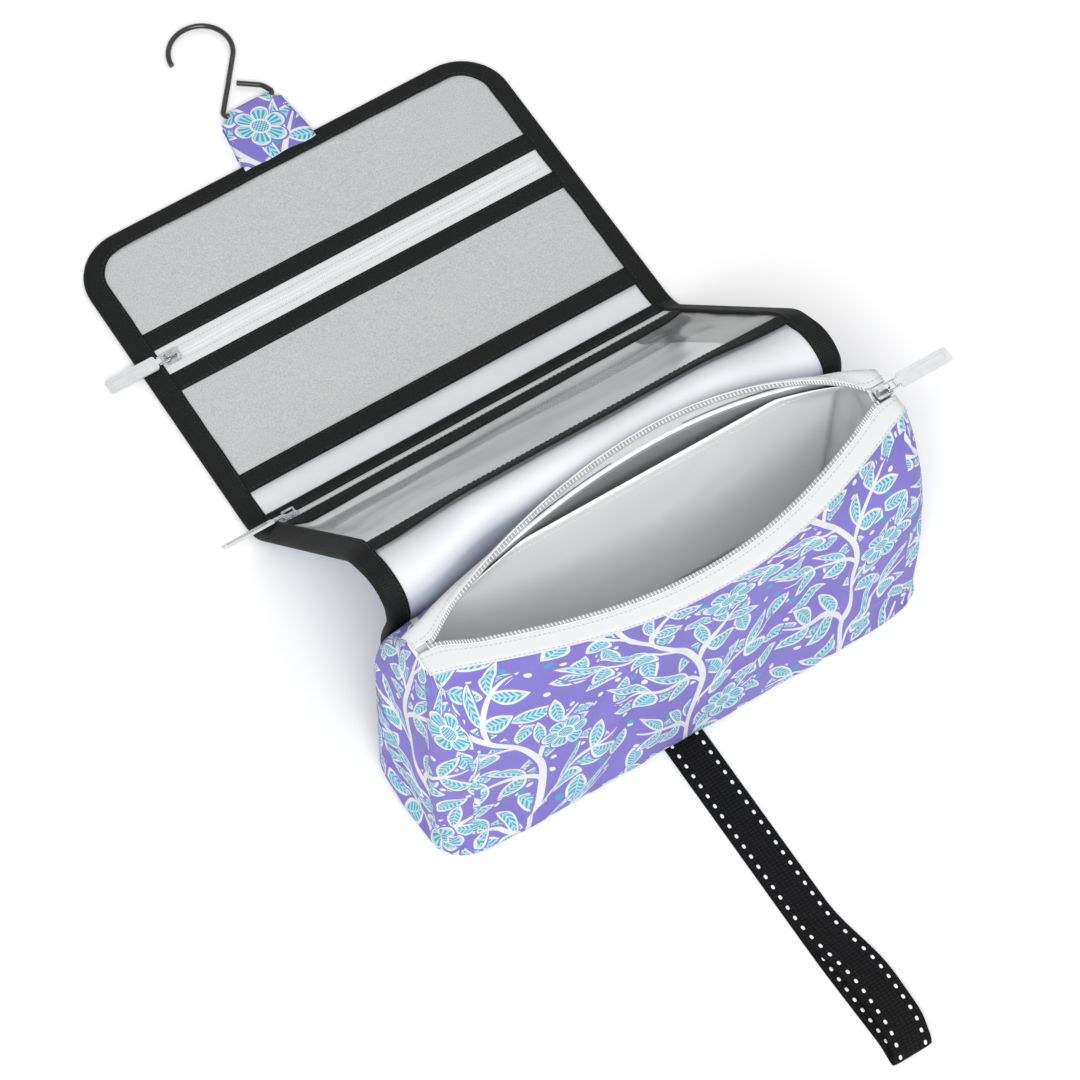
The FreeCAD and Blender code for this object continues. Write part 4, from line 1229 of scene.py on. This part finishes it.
def tape_rows(middle, columns, width):
    """Across the tape at each column of the pouch's rim: from the coil out over the rim.

    The rear tape has a small turned fold beside its coil.
    """
    rows = []
    side = -1 if middle[0] < 0 else 1
    for column in columns:
        rim = V(OUTER[-1, column])
        x = rim.x * TAPE_HALF / (MOUTH_HALF - RIM_CORNER)
        inner = chain_place(x, middle)
        rim.x = x
        rim.z += 0.9 * MM
        left = max(width - (rim - inner).length, 0.7 * MM)
        place, normal = wall_at(column, left)
        tail = V((x, place.y, place.z)) + normal * (1.0 * MM)
        near, near_normal = wall_at(column, 0.35 * left)
        bend = V((x, near.y, near.z)) + near_normal * (1.0 * MM)
        start = inner + V((0, side * 0.9 * MM, 0.1 * MM))
        if side > 0:
            fold = (2.6 + 1.6 * smooth((x - 60 * MM) / (60 * MM))) * MM
            turned = inner + V((0, fold, 0.1 * MM))
            between = [turned, turned.lerp(rim, 0.5)]
        else:
            between = [start.lerp(rim, 0.33), start.lerp(rim, 0.66)]
        rows.append([start, *between, rim, bend, tail])
    return rows


def softened(row, count):
    """The same line with more points, rounded at its corners."""
    for _ in range(2):
        line = [row[0]]
        for a, b in zip(row, row[1:]):
            line += [a.lerp(b, 0.25), a.lerp(b, 0.75)]
        row = line + [row[-1]]
    lengths = [0.0]
    for a, b in zip(row, row[1:]):
        lengths.append(lengths[-1] + (b - a).length)
    result = []
    for want in spread(0.0, lengths[-1], count):
        k = max(i for i, value in enumerate(lengths) if value <= want + 1e-12)
        k = min(k, len(row) - 2)
        step = lengths[k + 1] - lengths[k]
        result.append(row[k].lerp(row[k + 1], (want - lengths[k]) / step if step > 0 else 0.0))
    return result


def tape_normal(rows, i, j):
    """The outward direction of a tape, whose points run outwards along each row."""
    before, after = rows[max(i - 1, 0)], rows[min(i + 1, len(rows) - 1)]
    along = after[j] - before[j]
    row = rows[i]
    across = row[min(j + 1, len(row) - 1)] - row[max(j - 1, 0)]
    normal = along.cross(across).normalized()
    return -normal if row[-1].y < row[0].y else normal


def make_mouth_tape(name, middle, columns, width):
    """One side of the main zip: its tape, its coil and its two lines of stitches."""
    rows = [softened(row, TAPE_POINTS) for row in tape_rows(middle, columns, width)]
    over, uv = [], []
    travelled = 0.0
    for i, row in enumerate(rows):
        if i:
            travelled += (row[0] - rows[i - 1][0]).length
        across = [0.0]
        for a, b in zip(row, row[1:]):
            across.append(across[-1] + (b - a).length)
        uv.append([(travelled, value) for value in across])
        normals = [tape_normal(rows, i, j) for j in range(len(row))]
        over.append([p + n * TAPE_T for p, n in zip(row, normals)])
    tape = slab(name + "_tape", over, rows, uv, [TAPE])
    stitches = []
    for j in TAPE_SEAMS:
        line = [row[j] for row in over]
        normals = [tape_normal(over, i, j) for i in range(len(over))]
        stitches += stitch_spans(line, normals, 2.6 * MM)
    thread = rods(name + "_stitches", stitches, THREAD_R, THREAD_GREY, 0.6)
    coil = make_open_coil(name + "_coil", middle)
    for piece in (tape, thread, coil):
        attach(piece, "bag")
    return tape, coil


def stitch_spans(line, normals, pitch, share=0.62):
    """Stitches along a line of points, each a short rod that lies on the surface."""
    spans = []
    carried = pitch / 2
    for i, (a, b) in enumerate(zip(line, line[1:])):
        length = (b - a).length
        at = carried
        while at < length:
            direction = (b - a) / length
            spans.append((a + direction * at, direction * (pitch * share / 2), normals[i]))
            at += pitch
        carried = at - length
    return spans


def even_line(place, start, end, pitch):
    """Points spaced by pitch along a curve given by a function of x."""
    fine = [place(x) for x in spread(start, end, 400)]
    points = [fine[0]]
    gone = 0.0
    for a, b in zip(fine, fine[1:]):
        gone += (b - a).length
        if gone >= pitch:
            points.append(b)
            gone = 0.0
    return points


def make_open_coil(name, middle):
    """One open row of coil teeth: a loop across the tape's edge at every pitch, over a dark grey strip that
    is painted shade between the teeth.
    """
    side = -1 if middle[0] < 0 else 1
    line = even_line(lambda x: chain_place(x, middle), -CHAIN_HALF - 4 * MM, CHAIN_HALF + 1 * MM,
                     COIL_PITCH)
    spans = []
    for i, p in enumerate(line):
        reach = V((0, side * 1.35 * MM, 0))
        spans.append((p + V((0, side * 0.1 * MM, 1.35 * MM)), reach, UP))
        if i:
            q = line[i - 1]
            spans.append(((p + q) / 2 + V((0, side * 1.7 * MM, 1.2 * MM)), (p - q) * 0.62, UP))
    over = []
    for p in line:
        over.append([p + V((0, side * out * MM, 0.8 * MM)) for out in spread(-1.2, 1.7, 5)])
    under = lowered(over, V((0, 0, 0.6 * MM)))
    shade_strip = slab(name + "_cord", over, under, flat_uv(over, 0, 1), [COIL_GAP_SHADE])
    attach(shade_strip, "bag")
    return rods(name, spans, COIL_R, TEETH)


def make_mouth_end(name, side):
    """The gusset of tape that joins the two tapes at one end of the mouth."""
    over = []
    for x in spread(side * (CHAIN_HALF + 1 * MM), side * (TAPE_HALF - 0.4 * MM), 10):
        front = chain_place(x, FRONT_CHAIN) + V((0, -1.5 * MM, 0.2 * MM))
        rear = chain_place(x, REAR_CHAIN) + V((0, 1.5 * MM, 0.2 * MM))
        row = []
        for t in spread(0.0, 1.0, 9):
            row.append(front.lerp(rear, t) - V((0, 0, 4.4 * MM * math.sin(math.pi * t))))
        over.append(row)
    gusset = slab(name, over, lowered(over, V((0, 0, TAPE_T))), flat_uv(over, 0, 1), [TAPE])
    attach(gusset, "bag")
    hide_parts("main_zip_end_tapes")


def make_main_zip():
    """Both sides of the main zip, from left to right, and the gussets at its ends."""
    front = range(0, SIDE_STEPS + 1)
    rear = range(REAR_START + SIDE_STEPS, REAR_START - 1, -1)
    tape, coil = make_mouth_tape("front_lip", FRONT_CHAIN, front, TAPE_WIDTH[0])
    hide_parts("front_zip_tape")
    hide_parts("front_zip_chain")
    tape, coil = make_mouth_tape("rear_lip", REAR_CHAIN, rear, TAPE_WIDTH[1])
    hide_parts("rear_zip_tape")
    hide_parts("rear_zip_chain")
    make_mouth_end("mouth_end_left", -1)
    make_mouth_end("mouth_end_right", 1)


# ---- flap skins and bindings ----------------------------------------------------------------------

COVER_H = 5.1 * MM


def bend_at_foot(piece):
    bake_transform(piece)


def bend_at_ridge(piece):
    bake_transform(piece)


def make_flap_skin(name, start, end, replaced):
    """The padded flap: printed cloth below, lining above, a thin foam between."""
    stations = flap_stations(start, end, 5 * MM)
    shares = spread(-1.0, 1.0, 59)
    top, bottom, uv = [], [], []
    for s in stations:
        reach = half_width(s, 0.8 * MM)
        over, under, pairs = [], [], []
        for share in shares:
            x = reach * share
            soft = 0.22 * MM * ripple(x, s, 38 * MM, 1.0)
            over.append(flap_point(s, CORE_HALF + soft, x))
            under.append(flap_point(s, -CORE_HALF + soft * 0.4, x))
            pairs.append((x + 0.4, s + 0.7))
        top.append(over)
        bottom.append(under)
        uv.append(pairs)
    piece = slab(name, top, bottom, uv, [LINING, PRINT])
    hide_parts(*replaced)
    return piece


def cover(s):
    """The height that the binding's inner edge has to reach to lie over what is sewn there."""
    def within(a, b):
        return smooth((s - a) / (5 * MM)) * (1 - smooth((s - b + 5 * MM) / (5 * MM)))
    pockets = max(within(S_FAR, -8 * MM), within(9 * MM, 218 * MM))
    return 2.7 * MM + (COVER_H - 2.7 * MM) * pockets


def binding_profile(top):
    """The folded ribbon in section: (distance in from the edge, height), all the way round."""
    w = BINDING_W
    rim = BINDING_RIM
    over = [(w, top), (w * 0.84, top - 0.2 * MM), (w * 0.5, rim + (top - rim) * 0.5),
            (w * 0.25, rim + (top - rim) * 0.15), (0.12 * w, rim)]
    edge = [(rim * (1 - math.sin(a)), rim * math.cos(a)) for a in spread(0.35, math.pi - 0.35, 7)]
    under = [(0.12 * w, -rim), (w * 0.5, -rim), (w, -rim)]
    inside = [(w, -1.2 * MM), (1.2 * MM, -1.2 * MM), (1.2 * MM, 1.2 * MM), (w, 1.2 * MM)]
    return over + edge + under + inside


def edge_station(x, s, dx, ds, top):
    """Turns a profile point into a place at one point of the flap's edge."""
    wave = 1 + 0.025 * ripple(x, s, 16 * MM, 7.0)
    stretch = (top - BINDING_RIM) / (COVER_H - BINDING_RIM)

    def place(inward, height):
        if height > BINDING_RIM:
            height = BINDING_RIM + (height - BINDING_RIM) * stretch
        reach = inward * wave
        return flap_point(s + ds * reach, height, x + dx * reach)
    return place


def outline_stations(path):
    """Stations and distances for a path of (x, s, dx, ds) round the flap's edge."""
    stations, lengths = [], [0.0]
    for i, (x, s, dx, ds) in enumerate(path):
        stations.append(edge_station(x, s, dx, ds, cover(s + ds * BINDING_W)))
        if i:
            lengths.append(lengths[-1] + math.dist((x, s), path[i - 1][:2]))
    return stations, lengths


def binding_stitches(path, inward):
    """Stitches on the upper side of a binding, a little in from its inner edge."""
    line, normals = [], []
    for x, s, dx, ds in path:
        place = edge_station(x, s, dx, ds, cover(s + ds * BINDING_W))
        line.append(place(inward, COVER_H + 0.1 * MM))
        normals.append(flap_up(s + ds * inward, x + dx * inward))
    return stitch_spans(line, normals, 3.0 * MM)


def upper_path():
    """Round the upper flap, from the left side of the ramp to the right side."""
    corner_s = S_FAR + FLAP_CORNER_R
    side = flap_stations(corner_s, S_JOIN, 4 * MM)
    r = FLAP_CORNER_R
    cx = FLAP_HALF - r
    path = [(-FLAP_HALF, s, 1.0, 0.0) for s in reversed(side)]
    for a in spread(0, math.pi / 2, 15)[1:]:
        path.append((-cx - r * math.cos(a), corner_s - r * math.sin(a), math.cos(a), math.sin(a)))
    path += [(x, S_FAR, 0.0, 1.0) for x in spread(-cx, cx, 56)[1:-1]]
    for a in spread(math.pi / 2, 0, 15)[:-1]:
        path.append((cx + r * math.cos(a), corner_s - r * math.sin(a), -math.cos(a), math.sin(a)))
    return path + [(FLAP_HALF, s, -1.0, 0.0) for s in side]


def make_upper_half():
    """The upper flap and the foot of the ramp, with the binding that runs round them."""
    skin = make_flap_skin("flap_skin_upper", S_FAR + 0.8 * MM, S_JOIN,
                          ["upper_flap_outer", "upper_flap_foam", "upper_flap_lining", "foot_fold_fabric"])
    path = upper_path()
    stations, lengths = outline_stations(path)
    binding = sweep("flap_binding_upper", stations, binding_profile(COVER_H), lengths, BINDING)
    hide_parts("upper_flap_binding")
    stitches = binding_stitches(path, 11.2 * MM)
    thread = rods("flap_binding_upper_stitches", stitches, THREAD_R, THREAD_BLACK, 0.8)
    for piece in (skin, binding, thread):
        bend_at_foot(piece)


def make_rear_half():
    """The ramp above the join, the ridge and the part behind the pouch, with both bindings."""
    skin = make_flap_skin("flap_skin_rear", S_JOIN, S_END,
                          ["middle_flap_outer", "middle_flap_foam", "middle_flap_lining", "rear_flap_outer",
                           "rear_flap_foam", "rear_flap_lining", "ridge_fold_fabric"])
    bend_at_ridge(skin)
    for side, name in ((-1, "left"), (1, "right")):
        path = [(side * FLAP_HALF, s, -side, 0.0) for s in flap_stations(S_JOIN, S_END, 4 * MM)]
        stations, lengths = outline_stations(path)
        binding = sweep("flap_binding_" + name, stations, binding_profile(COVER_H), lengths, BINDING)
        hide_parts("middle_flap_bindings", "rear_flap_bindings")
        stitches = binding_stitches(path[:-30], 11.2 * MM)
        thread = rods("flap_binding_" + name + "_stitches", stitches, THREAD_R, THREAD_BLACK, 0.8)
        bend_at_ridge(binding)
        bend_at_ridge(thread)


# ---- what is sewn on the flap -----------------------------------------------------------------------

PANEL_COLUMNS = 89
RIBBON = (3.5 * MM, 4.7 * MM)


def no_lift(s, x):
    """The lift of a layer that lies flat."""
    return 0.0


def flap_layer(name, s_range, levels, material, lift=no_lift, rows=None, soft=0.0, rounded=0.0):
    """A layer on the flap between two places and two heights, along its whole width."""
    count = rows or max(int((s_range[1] - s_range[0]) / (4 * MM)) + 2, 5)
    top, bottom, uv = [], [], []
    for i, s in enumerate(spread(s_range[0], s_range[1], count)):
        edge = rounded if i in (0, count - 1) else 0.0
        reach = min(half_width(s, BINDING_W - BINDING_LAP), PANEL_HALF)
        over, under, pairs = [], [], []
        for x in spread(-PANEL_HALF, PANEL_HALF, PANEL_COLUMNS):
            x = x * reach / PANEL_HALF
            rise = lift(s, x) + soft * ripple(x, s, 34 * MM, 4.0)
            over.append(flap_point(s, levels[1] - edge + rise, x))
            under.append(flap_point(s, levels[0] + rise, x))
            pairs.append((x + 0.3, s + 0.3))
        top.append(over)
        bottom.append(under)
        uv.append(pairs)
    return slab(name, top, bottom, uv, [material])


def seam_stitches(name, places, level, body, thread, lift=no_lift):
    """Lines of stitches along X at some places on the flap."""
    spans = []
    reach = PANEL_HALF - 4 * MM
    for s in places:
        line = [flap_point(s, level + lift(s, x), x) for x in spread(-reach, reach, 60)]
        spans += stitch_spans(line, [flap_up(s)] * len(line), 3.0 * MM)
    piece = rods(name, spans, THREAD_R, thread, 0.8)
    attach(piece, body)


def make_strip(node, s_range, body):
    """A black ribbon sewn along X, with a stitch line near each edge."""
    strip = flap_layer(node + "_ribbon", s_range, RIBBON, BINDING, rows=7, soft=0.12 * MM,
                       rounded=0.4 * MM)
    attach(strip, body)
    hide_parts(node)
    edges = (s_range[0] + 1.5 * MM, s_range[1] - 1.5 * MM)
    seam_stitches(node + "_stitches", edges, 4.75 * MM, body, THREAD_BLACK)


def flat_s(node):
    """Where a node of the flat upper flap lies, as a range of s."""
    return FOOT_Y - high(node).y, FOOT_Y - low(node).y


def make_upper_pockets():
    """The header panel, the zipped pocket and its ribbons on the flat flap."""
    header = flat_s("header_panel")
    header = (header[0] - 1.5 * MM, header[1])
    pocket_s = flat_s("mesh_pocket_panel")

    def header_lift(s, x):
        return 0.5 * MM * sag(x, PANEL_HALF)

    def pocket_lift(s, x):
        share = (s - pocket_s[0]) / (pocket_s[1] - pocket_s[0])
        return 0.9 * MM * sag(x, PANEL_HALF) * math.sin(math.pi * min(max(share, 0), 1))

    panel = flap_layer("header_cloth", header, (1.4 * MM, 3.9 * MM), MELANGE, header_lift,
                       soft=0.25 * MM)
    pocket = flap_layer("pocket_cloth", pocket_s, (3.1 * MM, 3.9 * MM), MELANGE, pocket_lift,
                        soft=0.3 * MM)
    for piece, node in ((panel, "header_panel"), (pocket, "mesh_pocket_panel")):
        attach(piece, "upper_flap")
        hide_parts(node)
    header[1] - header[0]
    pocket_s[1] - pocket_s[0]
    for node in ("pocket_base_strip", "mesh_zip_lower_strip", "mesh_zip_upper_strip"):
        make_strip(node, flat_s(node), "upper_flap")


def make_closed_zip(name, s_middle, s_range, body, replaced):
    """A closed zip along X: two white tapes and the two rows of its coil."""
    tape_node, chain_node = replaced
    tape = flap_layer(name + "_tape", s_range, (3.2 * MM, 3.8 * MM), TAPE, rows=11, soft=0.08 * MM)
    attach(tape, body)
    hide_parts(tape_node)
    s_range[1] - s_range[0]
    spans = []
    left, right = low(chain_node).x, high(chain_node).x
    count = int((right - left) / (1.3 * MM))
    for x in spread(left, right, count):
        for side in (-1, 1):
            s = s_middle + side * 1.25 * MM + zip_wave(x)
            middle = flap_point(s, 3.6 * MM, x + side * 0.33 * MM)
            reach = flap_point(s + 1.1 * MM, 0, x) - flap_point(s, 0, x)
            spans.append((middle, reach, flap_up(s, x)))
    coil = rods(name + "_coil", spans, 0.52 * MM, TEETH)
    for offset, place in ((-4.4, "far"), (4.4, "near")):
        s = s_middle + offset * MM
        line = [flap_point(s, 3.85 * MM, x) for x in spread(-PANEL_HALF, PANEL_HALF, 70)]
        stitches = stitch_spans(line, [flap_up(s_middle)] * len(line), 2.4 * MM, 0.7)
        thread = rods(name + "_stitches_" + place, stitches, 0.24 * MM, THREAD_GREY, 0.5)
        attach(thread, body)
    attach(coil, body)
    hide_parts(chain_node)


def make_window_pocket():
    """The clear pocket on the ramp, with the ribbons at its zip and at the ridge."""
    window = flap_layer("window_film", (44 * MM, 209 * MM), (3.15 * MM, 3.75 * MM), VINYL,
                        film_bulge, soft=0.4 * MM)
    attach(window, "middle_flap")
    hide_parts("clear_window")
    make_strip("window_zip_foot_strip", (9.5 * MM, 25.2 * MM), "middle_flap")
    make_strip("window_zip_edge_strip", (41.4 * MM, 55.5 * MM), "middle_flap")
    make_strip("ridge_strip", (202.3 * MM, 215 * MM), "middle_flap")


def make_flap_zips():
    """The closed zips of the flat pocket and of the window."""
    upper_s = FOOT_Y - (low("mesh_zip_chain").y + high("mesh_zip_chain").y) / 2
    tape_s = flat_s("mesh_zip_tapes")
    make_closed_zip("mesh_zip", upper_s, tape_s, "upper_flap", ("mesh_zip_tapes", "mesh_zip_chain"))
    make_closed_zip("window_zip", 33.2 * MM, (22.5 * MM, 44 * MM), "middle_flap",
                    ("window_zip_tapes", "window_zip_chain"))


# ---- tab, hook, strap ------------------------------------------------------------------------------

# The tab from above: its lap under the flap's binding, the share of narrowing before its shoulder, the
# shoulder's place, and its two sides where it goes round the hook's bar.
TAB_LAP = 6 * MM
TAB_TAPER = 0.35
TAB_SHOULDER = 434 * MM
TAB_NARROW = (-9.5 * MM, 17.0 * MM)
TAB_LOOP_R = 2.45 * MM
TAB_HALF_T = 0.45 * MM
TAB_PRINT = (FLOWER_REPEAT[0] / 2 - 2 * MM, FLOWER_REPEAT[1] / 2 - 24 * MM)


def make_tab():
    """The printed loop sewn on the flap's far edge, folded round the hook's bar."""
    start, end = low("hanger_tab"), high("hanger_tab")
    bar_y = JOINTS["hook_swing"]["pos_m"][1]
    bar_z = JOINTS["hook_swing"]["pos_m"][2]
    root_y = start.y - TAB_LAP
    left = (start.x, TAB_NARROW[0])
    right = (end.x, TAB_NARROW[1])
    line = []
    for y in spread(root_y, bar_y, 18):
        line.append((y, bar_z + TAB_LOOP_R, smooth((y - TAB_SHOULDER) / (5 * MM))))
    for a in spread(math.pi / 2, -math.pi / 2, 11)[1:-1]:
        line.append((bar_y + TAB_LOOP_R * math.cos(a), bar_z + TAB_LOOP_R * math.sin(a), 1.0))
    for y in spread(bar_y, root_y, 18):
        line.append((y, bar_z - TAB_LOOP_R, smooth((y - TAB_SHOULDER) / (5 * MM))))
    over, under, uv = [], [], []
    travelled = 0.0
    for i, (y, z, narrow) in enumerate(line):
        before, after = line[max(i - 1, 0)], line[min(i + 1, len(line) - 1)]
        along = V((0, after[0] - before[0], after[1] - before[1])).normalized()
        normal = V((0, -along.z, along.y))
        if i:
            travelled += math.dist(line[i][:2], line[i - 1][:2])
        taper = smooth((y - root_y) / (bar_y - root_y)) * TAB_TAPER
        x0 = left[0] + (left[1] - left[0]) * max(narrow, taper)
        x1 = right[0] + (right[1] - right[0]) * max(narrow, taper)
        columns = spread(x0, x1, 19)
        sink = 0.5 * MM * smooth((root_y + 9 * MM - y) / (9 * MM))
        places = [V((x, y, z - sink + 0.25 * MM * ripple(x, travelled, 13 * MM, 9.0))) for x in columns]
        over.append([p + normal * TAB_HALF_T for p in places])
        under.append([p - normal * TAB_HALF_T for p in places])
        uv.append([(x + TAB_PRINT[0], travelled + TAB_PRINT[1]) for x in columns])
    tab = slab("hanger_loop", over, under, uv, [PRINT])
    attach(tab, "upper_flap")
    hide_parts("hanger_tab")
    0.5 * (left[1] - left[0]) + right[0] - left[0]


STRAP_HALF_T = 0.65 * MM
STRAP_ROWS = 4.0 * MM
STRAP_PITCH = 7.1 * MM
STRAP_ROOT = -40.6 * MM
STRAP_SHIFT = 6.8 * MM


def strap_line():
    """The webbing from its end under the pouch out to the fold and back, as (y, z, sideways)."""
    box_low, box_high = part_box("carry_strap")
    t = 0.75 * MM
    end_y = box_low.y
    loop_h = box_high.z - box_low.z
    bend = loop_h / 2 - t
    fold_y = end_y + t + bend
    bottom = [(y, t) for y in spread(STRAP_ROOT, fold_y, 60)]
    angles = spread(0, math.pi, 15)[1:-1]
    turn = [(fold_y - bend * math.sin(a), t + bend - bend * math.cos(a)) for a in angles]
    crest, part = -240 * MM, -176 * MM
    top = []
    for y in spread(fold_y, STRAP_ROOT, 60):
        rise = smooth((part + 8 * MM - y) / (part - crest + 14 * MM))
        pressed = 0.45 * MM * smooth((y + 48 * MM) / (6 * MM))
        top.append((y, 2.4 * MM - pressed + (loop_h - t - 2.4 * MM) * rise))
    line = []
    for i, (y, z) in enumerate(bottom + turn + top):
        layer = smooth((i - 34) / 64)
        shift = STRAP_SHIFT * smooth((-166 * MM - y) / (56 * MM))
        back = 1 - smooth((-y - 246 * MM) / (26 * MM))
        line.append((y, z, shift * back * layer))
    return line


def make_strap():
    """The doubled webbing strap, whose layers part towards the open fold, with spotted stitching."""
    box_low, box_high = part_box("carry_strap")
    middle = (box_low.x + box_high.x) / 2
    half = (box_high.x - box_low.x) / 2
    centres = [V((middle + shift, y, z)) for y, z, shift in strap_line()]
    crown = [0.35] + [0.9] + [1.0] * 8 + [0.9] + [0.35]
    offsets = spread(-half, half, len(crown))
    over, under, uv, normals = [], [], [], []
    travelled = 0.0
    for i, centre in enumerate(centres):
        along = centres[min(i + 1, len(centres) - 1)] - centres[max(i - 1, 0)]
        normal = V((0, -along.z, along.y)).normalized()
        if i:
            travelled += (centre - centres[i - 1]).length
        places = [centre + V((x, 0, 0)) for x in offsets]
        over.append([p + normal * (STRAP_HALF_T * c) for p, c in zip(places, crown)])
        under.append([p - normal * (STRAP_HALF_T * c) for p, c in zip(places, crown)])
        uv.append([(travelled, x) for x in offsets])
        normals.append(normal)
    strap = slab("strap_webbing", over, under, uv, [WEBBING])
    spots = []
    for x in (-half + STRAP_ROWS, half - STRAP_ROWS):
        for side in (-1, 1):
            line = [c + V((x, 0, 0)) + n * (side * STRAP_HALF_T) for c, n in zip(centres, normals)]
            facing = [n * side for n in normals]
            spots += stitch_spans(line[2:-1], facing[2:-1], STRAP_PITCH, 0.36)
    stitches = rods("strap_stitches", spots, 0.95 * MM, THREAD_WHITE, 0.35, 8)
    for piece in (strap, stitches):
        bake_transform(piece)
    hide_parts("carry_strap", "strap_anchor_end")


def finish_hardware():
    """Materials and softened edges for the hook, the sliders and their pulls."""
    looks = {"wire_hook": (WIRE, 0.0)}
    for zip_name in ("main", "upper", "lower"):
        looks[zip_name + "_slider_body"] = (METAL, 0.22 * MM)
        looks[zip_name + "_slider_bridge"] = (METAL, 0.2 * MM)
        looks[zip_name + "_pull_link"] = (METAL, 0.0)
        looks[zip_name + "_pull_tab"] = (PULLS, 0.28 * MM)
    for node, (material, edge) in looks.items():
        piece = frame["nodes"][node]
        piece.data.materials.clear()
        piece.data.materials.append(material)
        if edge:
            bevel = piece.modifiers.new("soft edges", "BEVEL")
            bevel.width = edge
            bevel.segments = 3
            bevel.limit_method = "ANGLE"
            bevel.angle_limit = math.radians(35)
            bevel.harden_normals = True


# ---- camera, floor and light -----------------------------------------------------------------------

CAMERA_ANGLES = (-32.3, 61.5)
CAMERA_TARGET = V((-6, 103, 0)) * MM
CAMERA_DISTANCE = 2526 * MM
CAMERA_LENS = 150


def make_camera():
    """The photo's view, given by its azimuth and elevation."""
    azimuth, elevation = map(math.radians, CAMERA_ANGLES)
    away = V((math.sin(azimuth) * math.cos(elevation), -math.cos(azimuth) * math.cos(elevation),
              math.sin(elevation)))
    data = bpy.data.cameras.new("camera")
    data.lens = CAMERA_LENS
    data.sensor_width = 36
    data.clip_end = 20
    camera = bpy.data.objects.new("camera", data)
    camera.location = CAMERA_TARGET + away * CAMERA_DISTANCE
    camera.rotation_euler = (-away).to_track_quat("-Z", "Y").to_euler()
    SCENE.collection.objects.link(camera)
    SCENE.camera = camera


def make_floor():
    """White paper, just below the lowest piece."""
    mesh = bpy.data.meshes.new("floor")
    work = bmesh.new()
    bmesh.ops.create_grid(work, x_segments=8, y_segments=8, size=6)
    work.to_mesh(mesh)
    work.free()
    surface = Surface("floor_paper", (0.93, 0.93, 0.93), 0.9)
    mottled(surface, 0.8, (0.94, 0.94, 0.94), (0.92, 0.92, 0.92))
    floor = link("floor", mesh, [surface.material])
    floor.location.z = -0.4 * MM


def make_light(name, place, size, power):
    """A square lamp that looks at the origin."""
    data = bpy.data.lights.new(name, "AREA")
    data.size = size
    data.energy = power
    light = bpy.data.objects.new(name, data)
    light.location = place
    light.rotation_euler = (-V(place)).to_track_quat("-Z", "Y").to_euler()
    SCENE.collection.objects.link(light)


def make_studio():
    """Paper, daylight from all round and two lamps."""
    make_floor()
    world = bpy.data.worlds.new("studio")
    world.use_nodes = True
    background = world.node_tree.nodes["Background"]
    background.inputs["Color"].default_value = (1.0, 1.0, 1.0, 1.0)
    background.inputs["Strength"].default_value = 0.62
    SCENE.world = world
    make_light("key", (-0.9, -1.5, 2.6), 1.6, 80)
    make_light("fill", (1.3, 0.9, 2.6), 2.0, 8)
    SCENE.view_settings.view_transform = "Standard"


def main():
    make_camera()
    make_pouch()
    make_board()
    make_divider()
    make_inner_seams()
    make_main_zip()
    make_upper_half()
    make_rear_half()
    make_upper_pockets()
    make_window_pocket()
    make_flap_zips()
    make_tab()
    make_strap()
    finish_hardware()
    make_studio()


main()
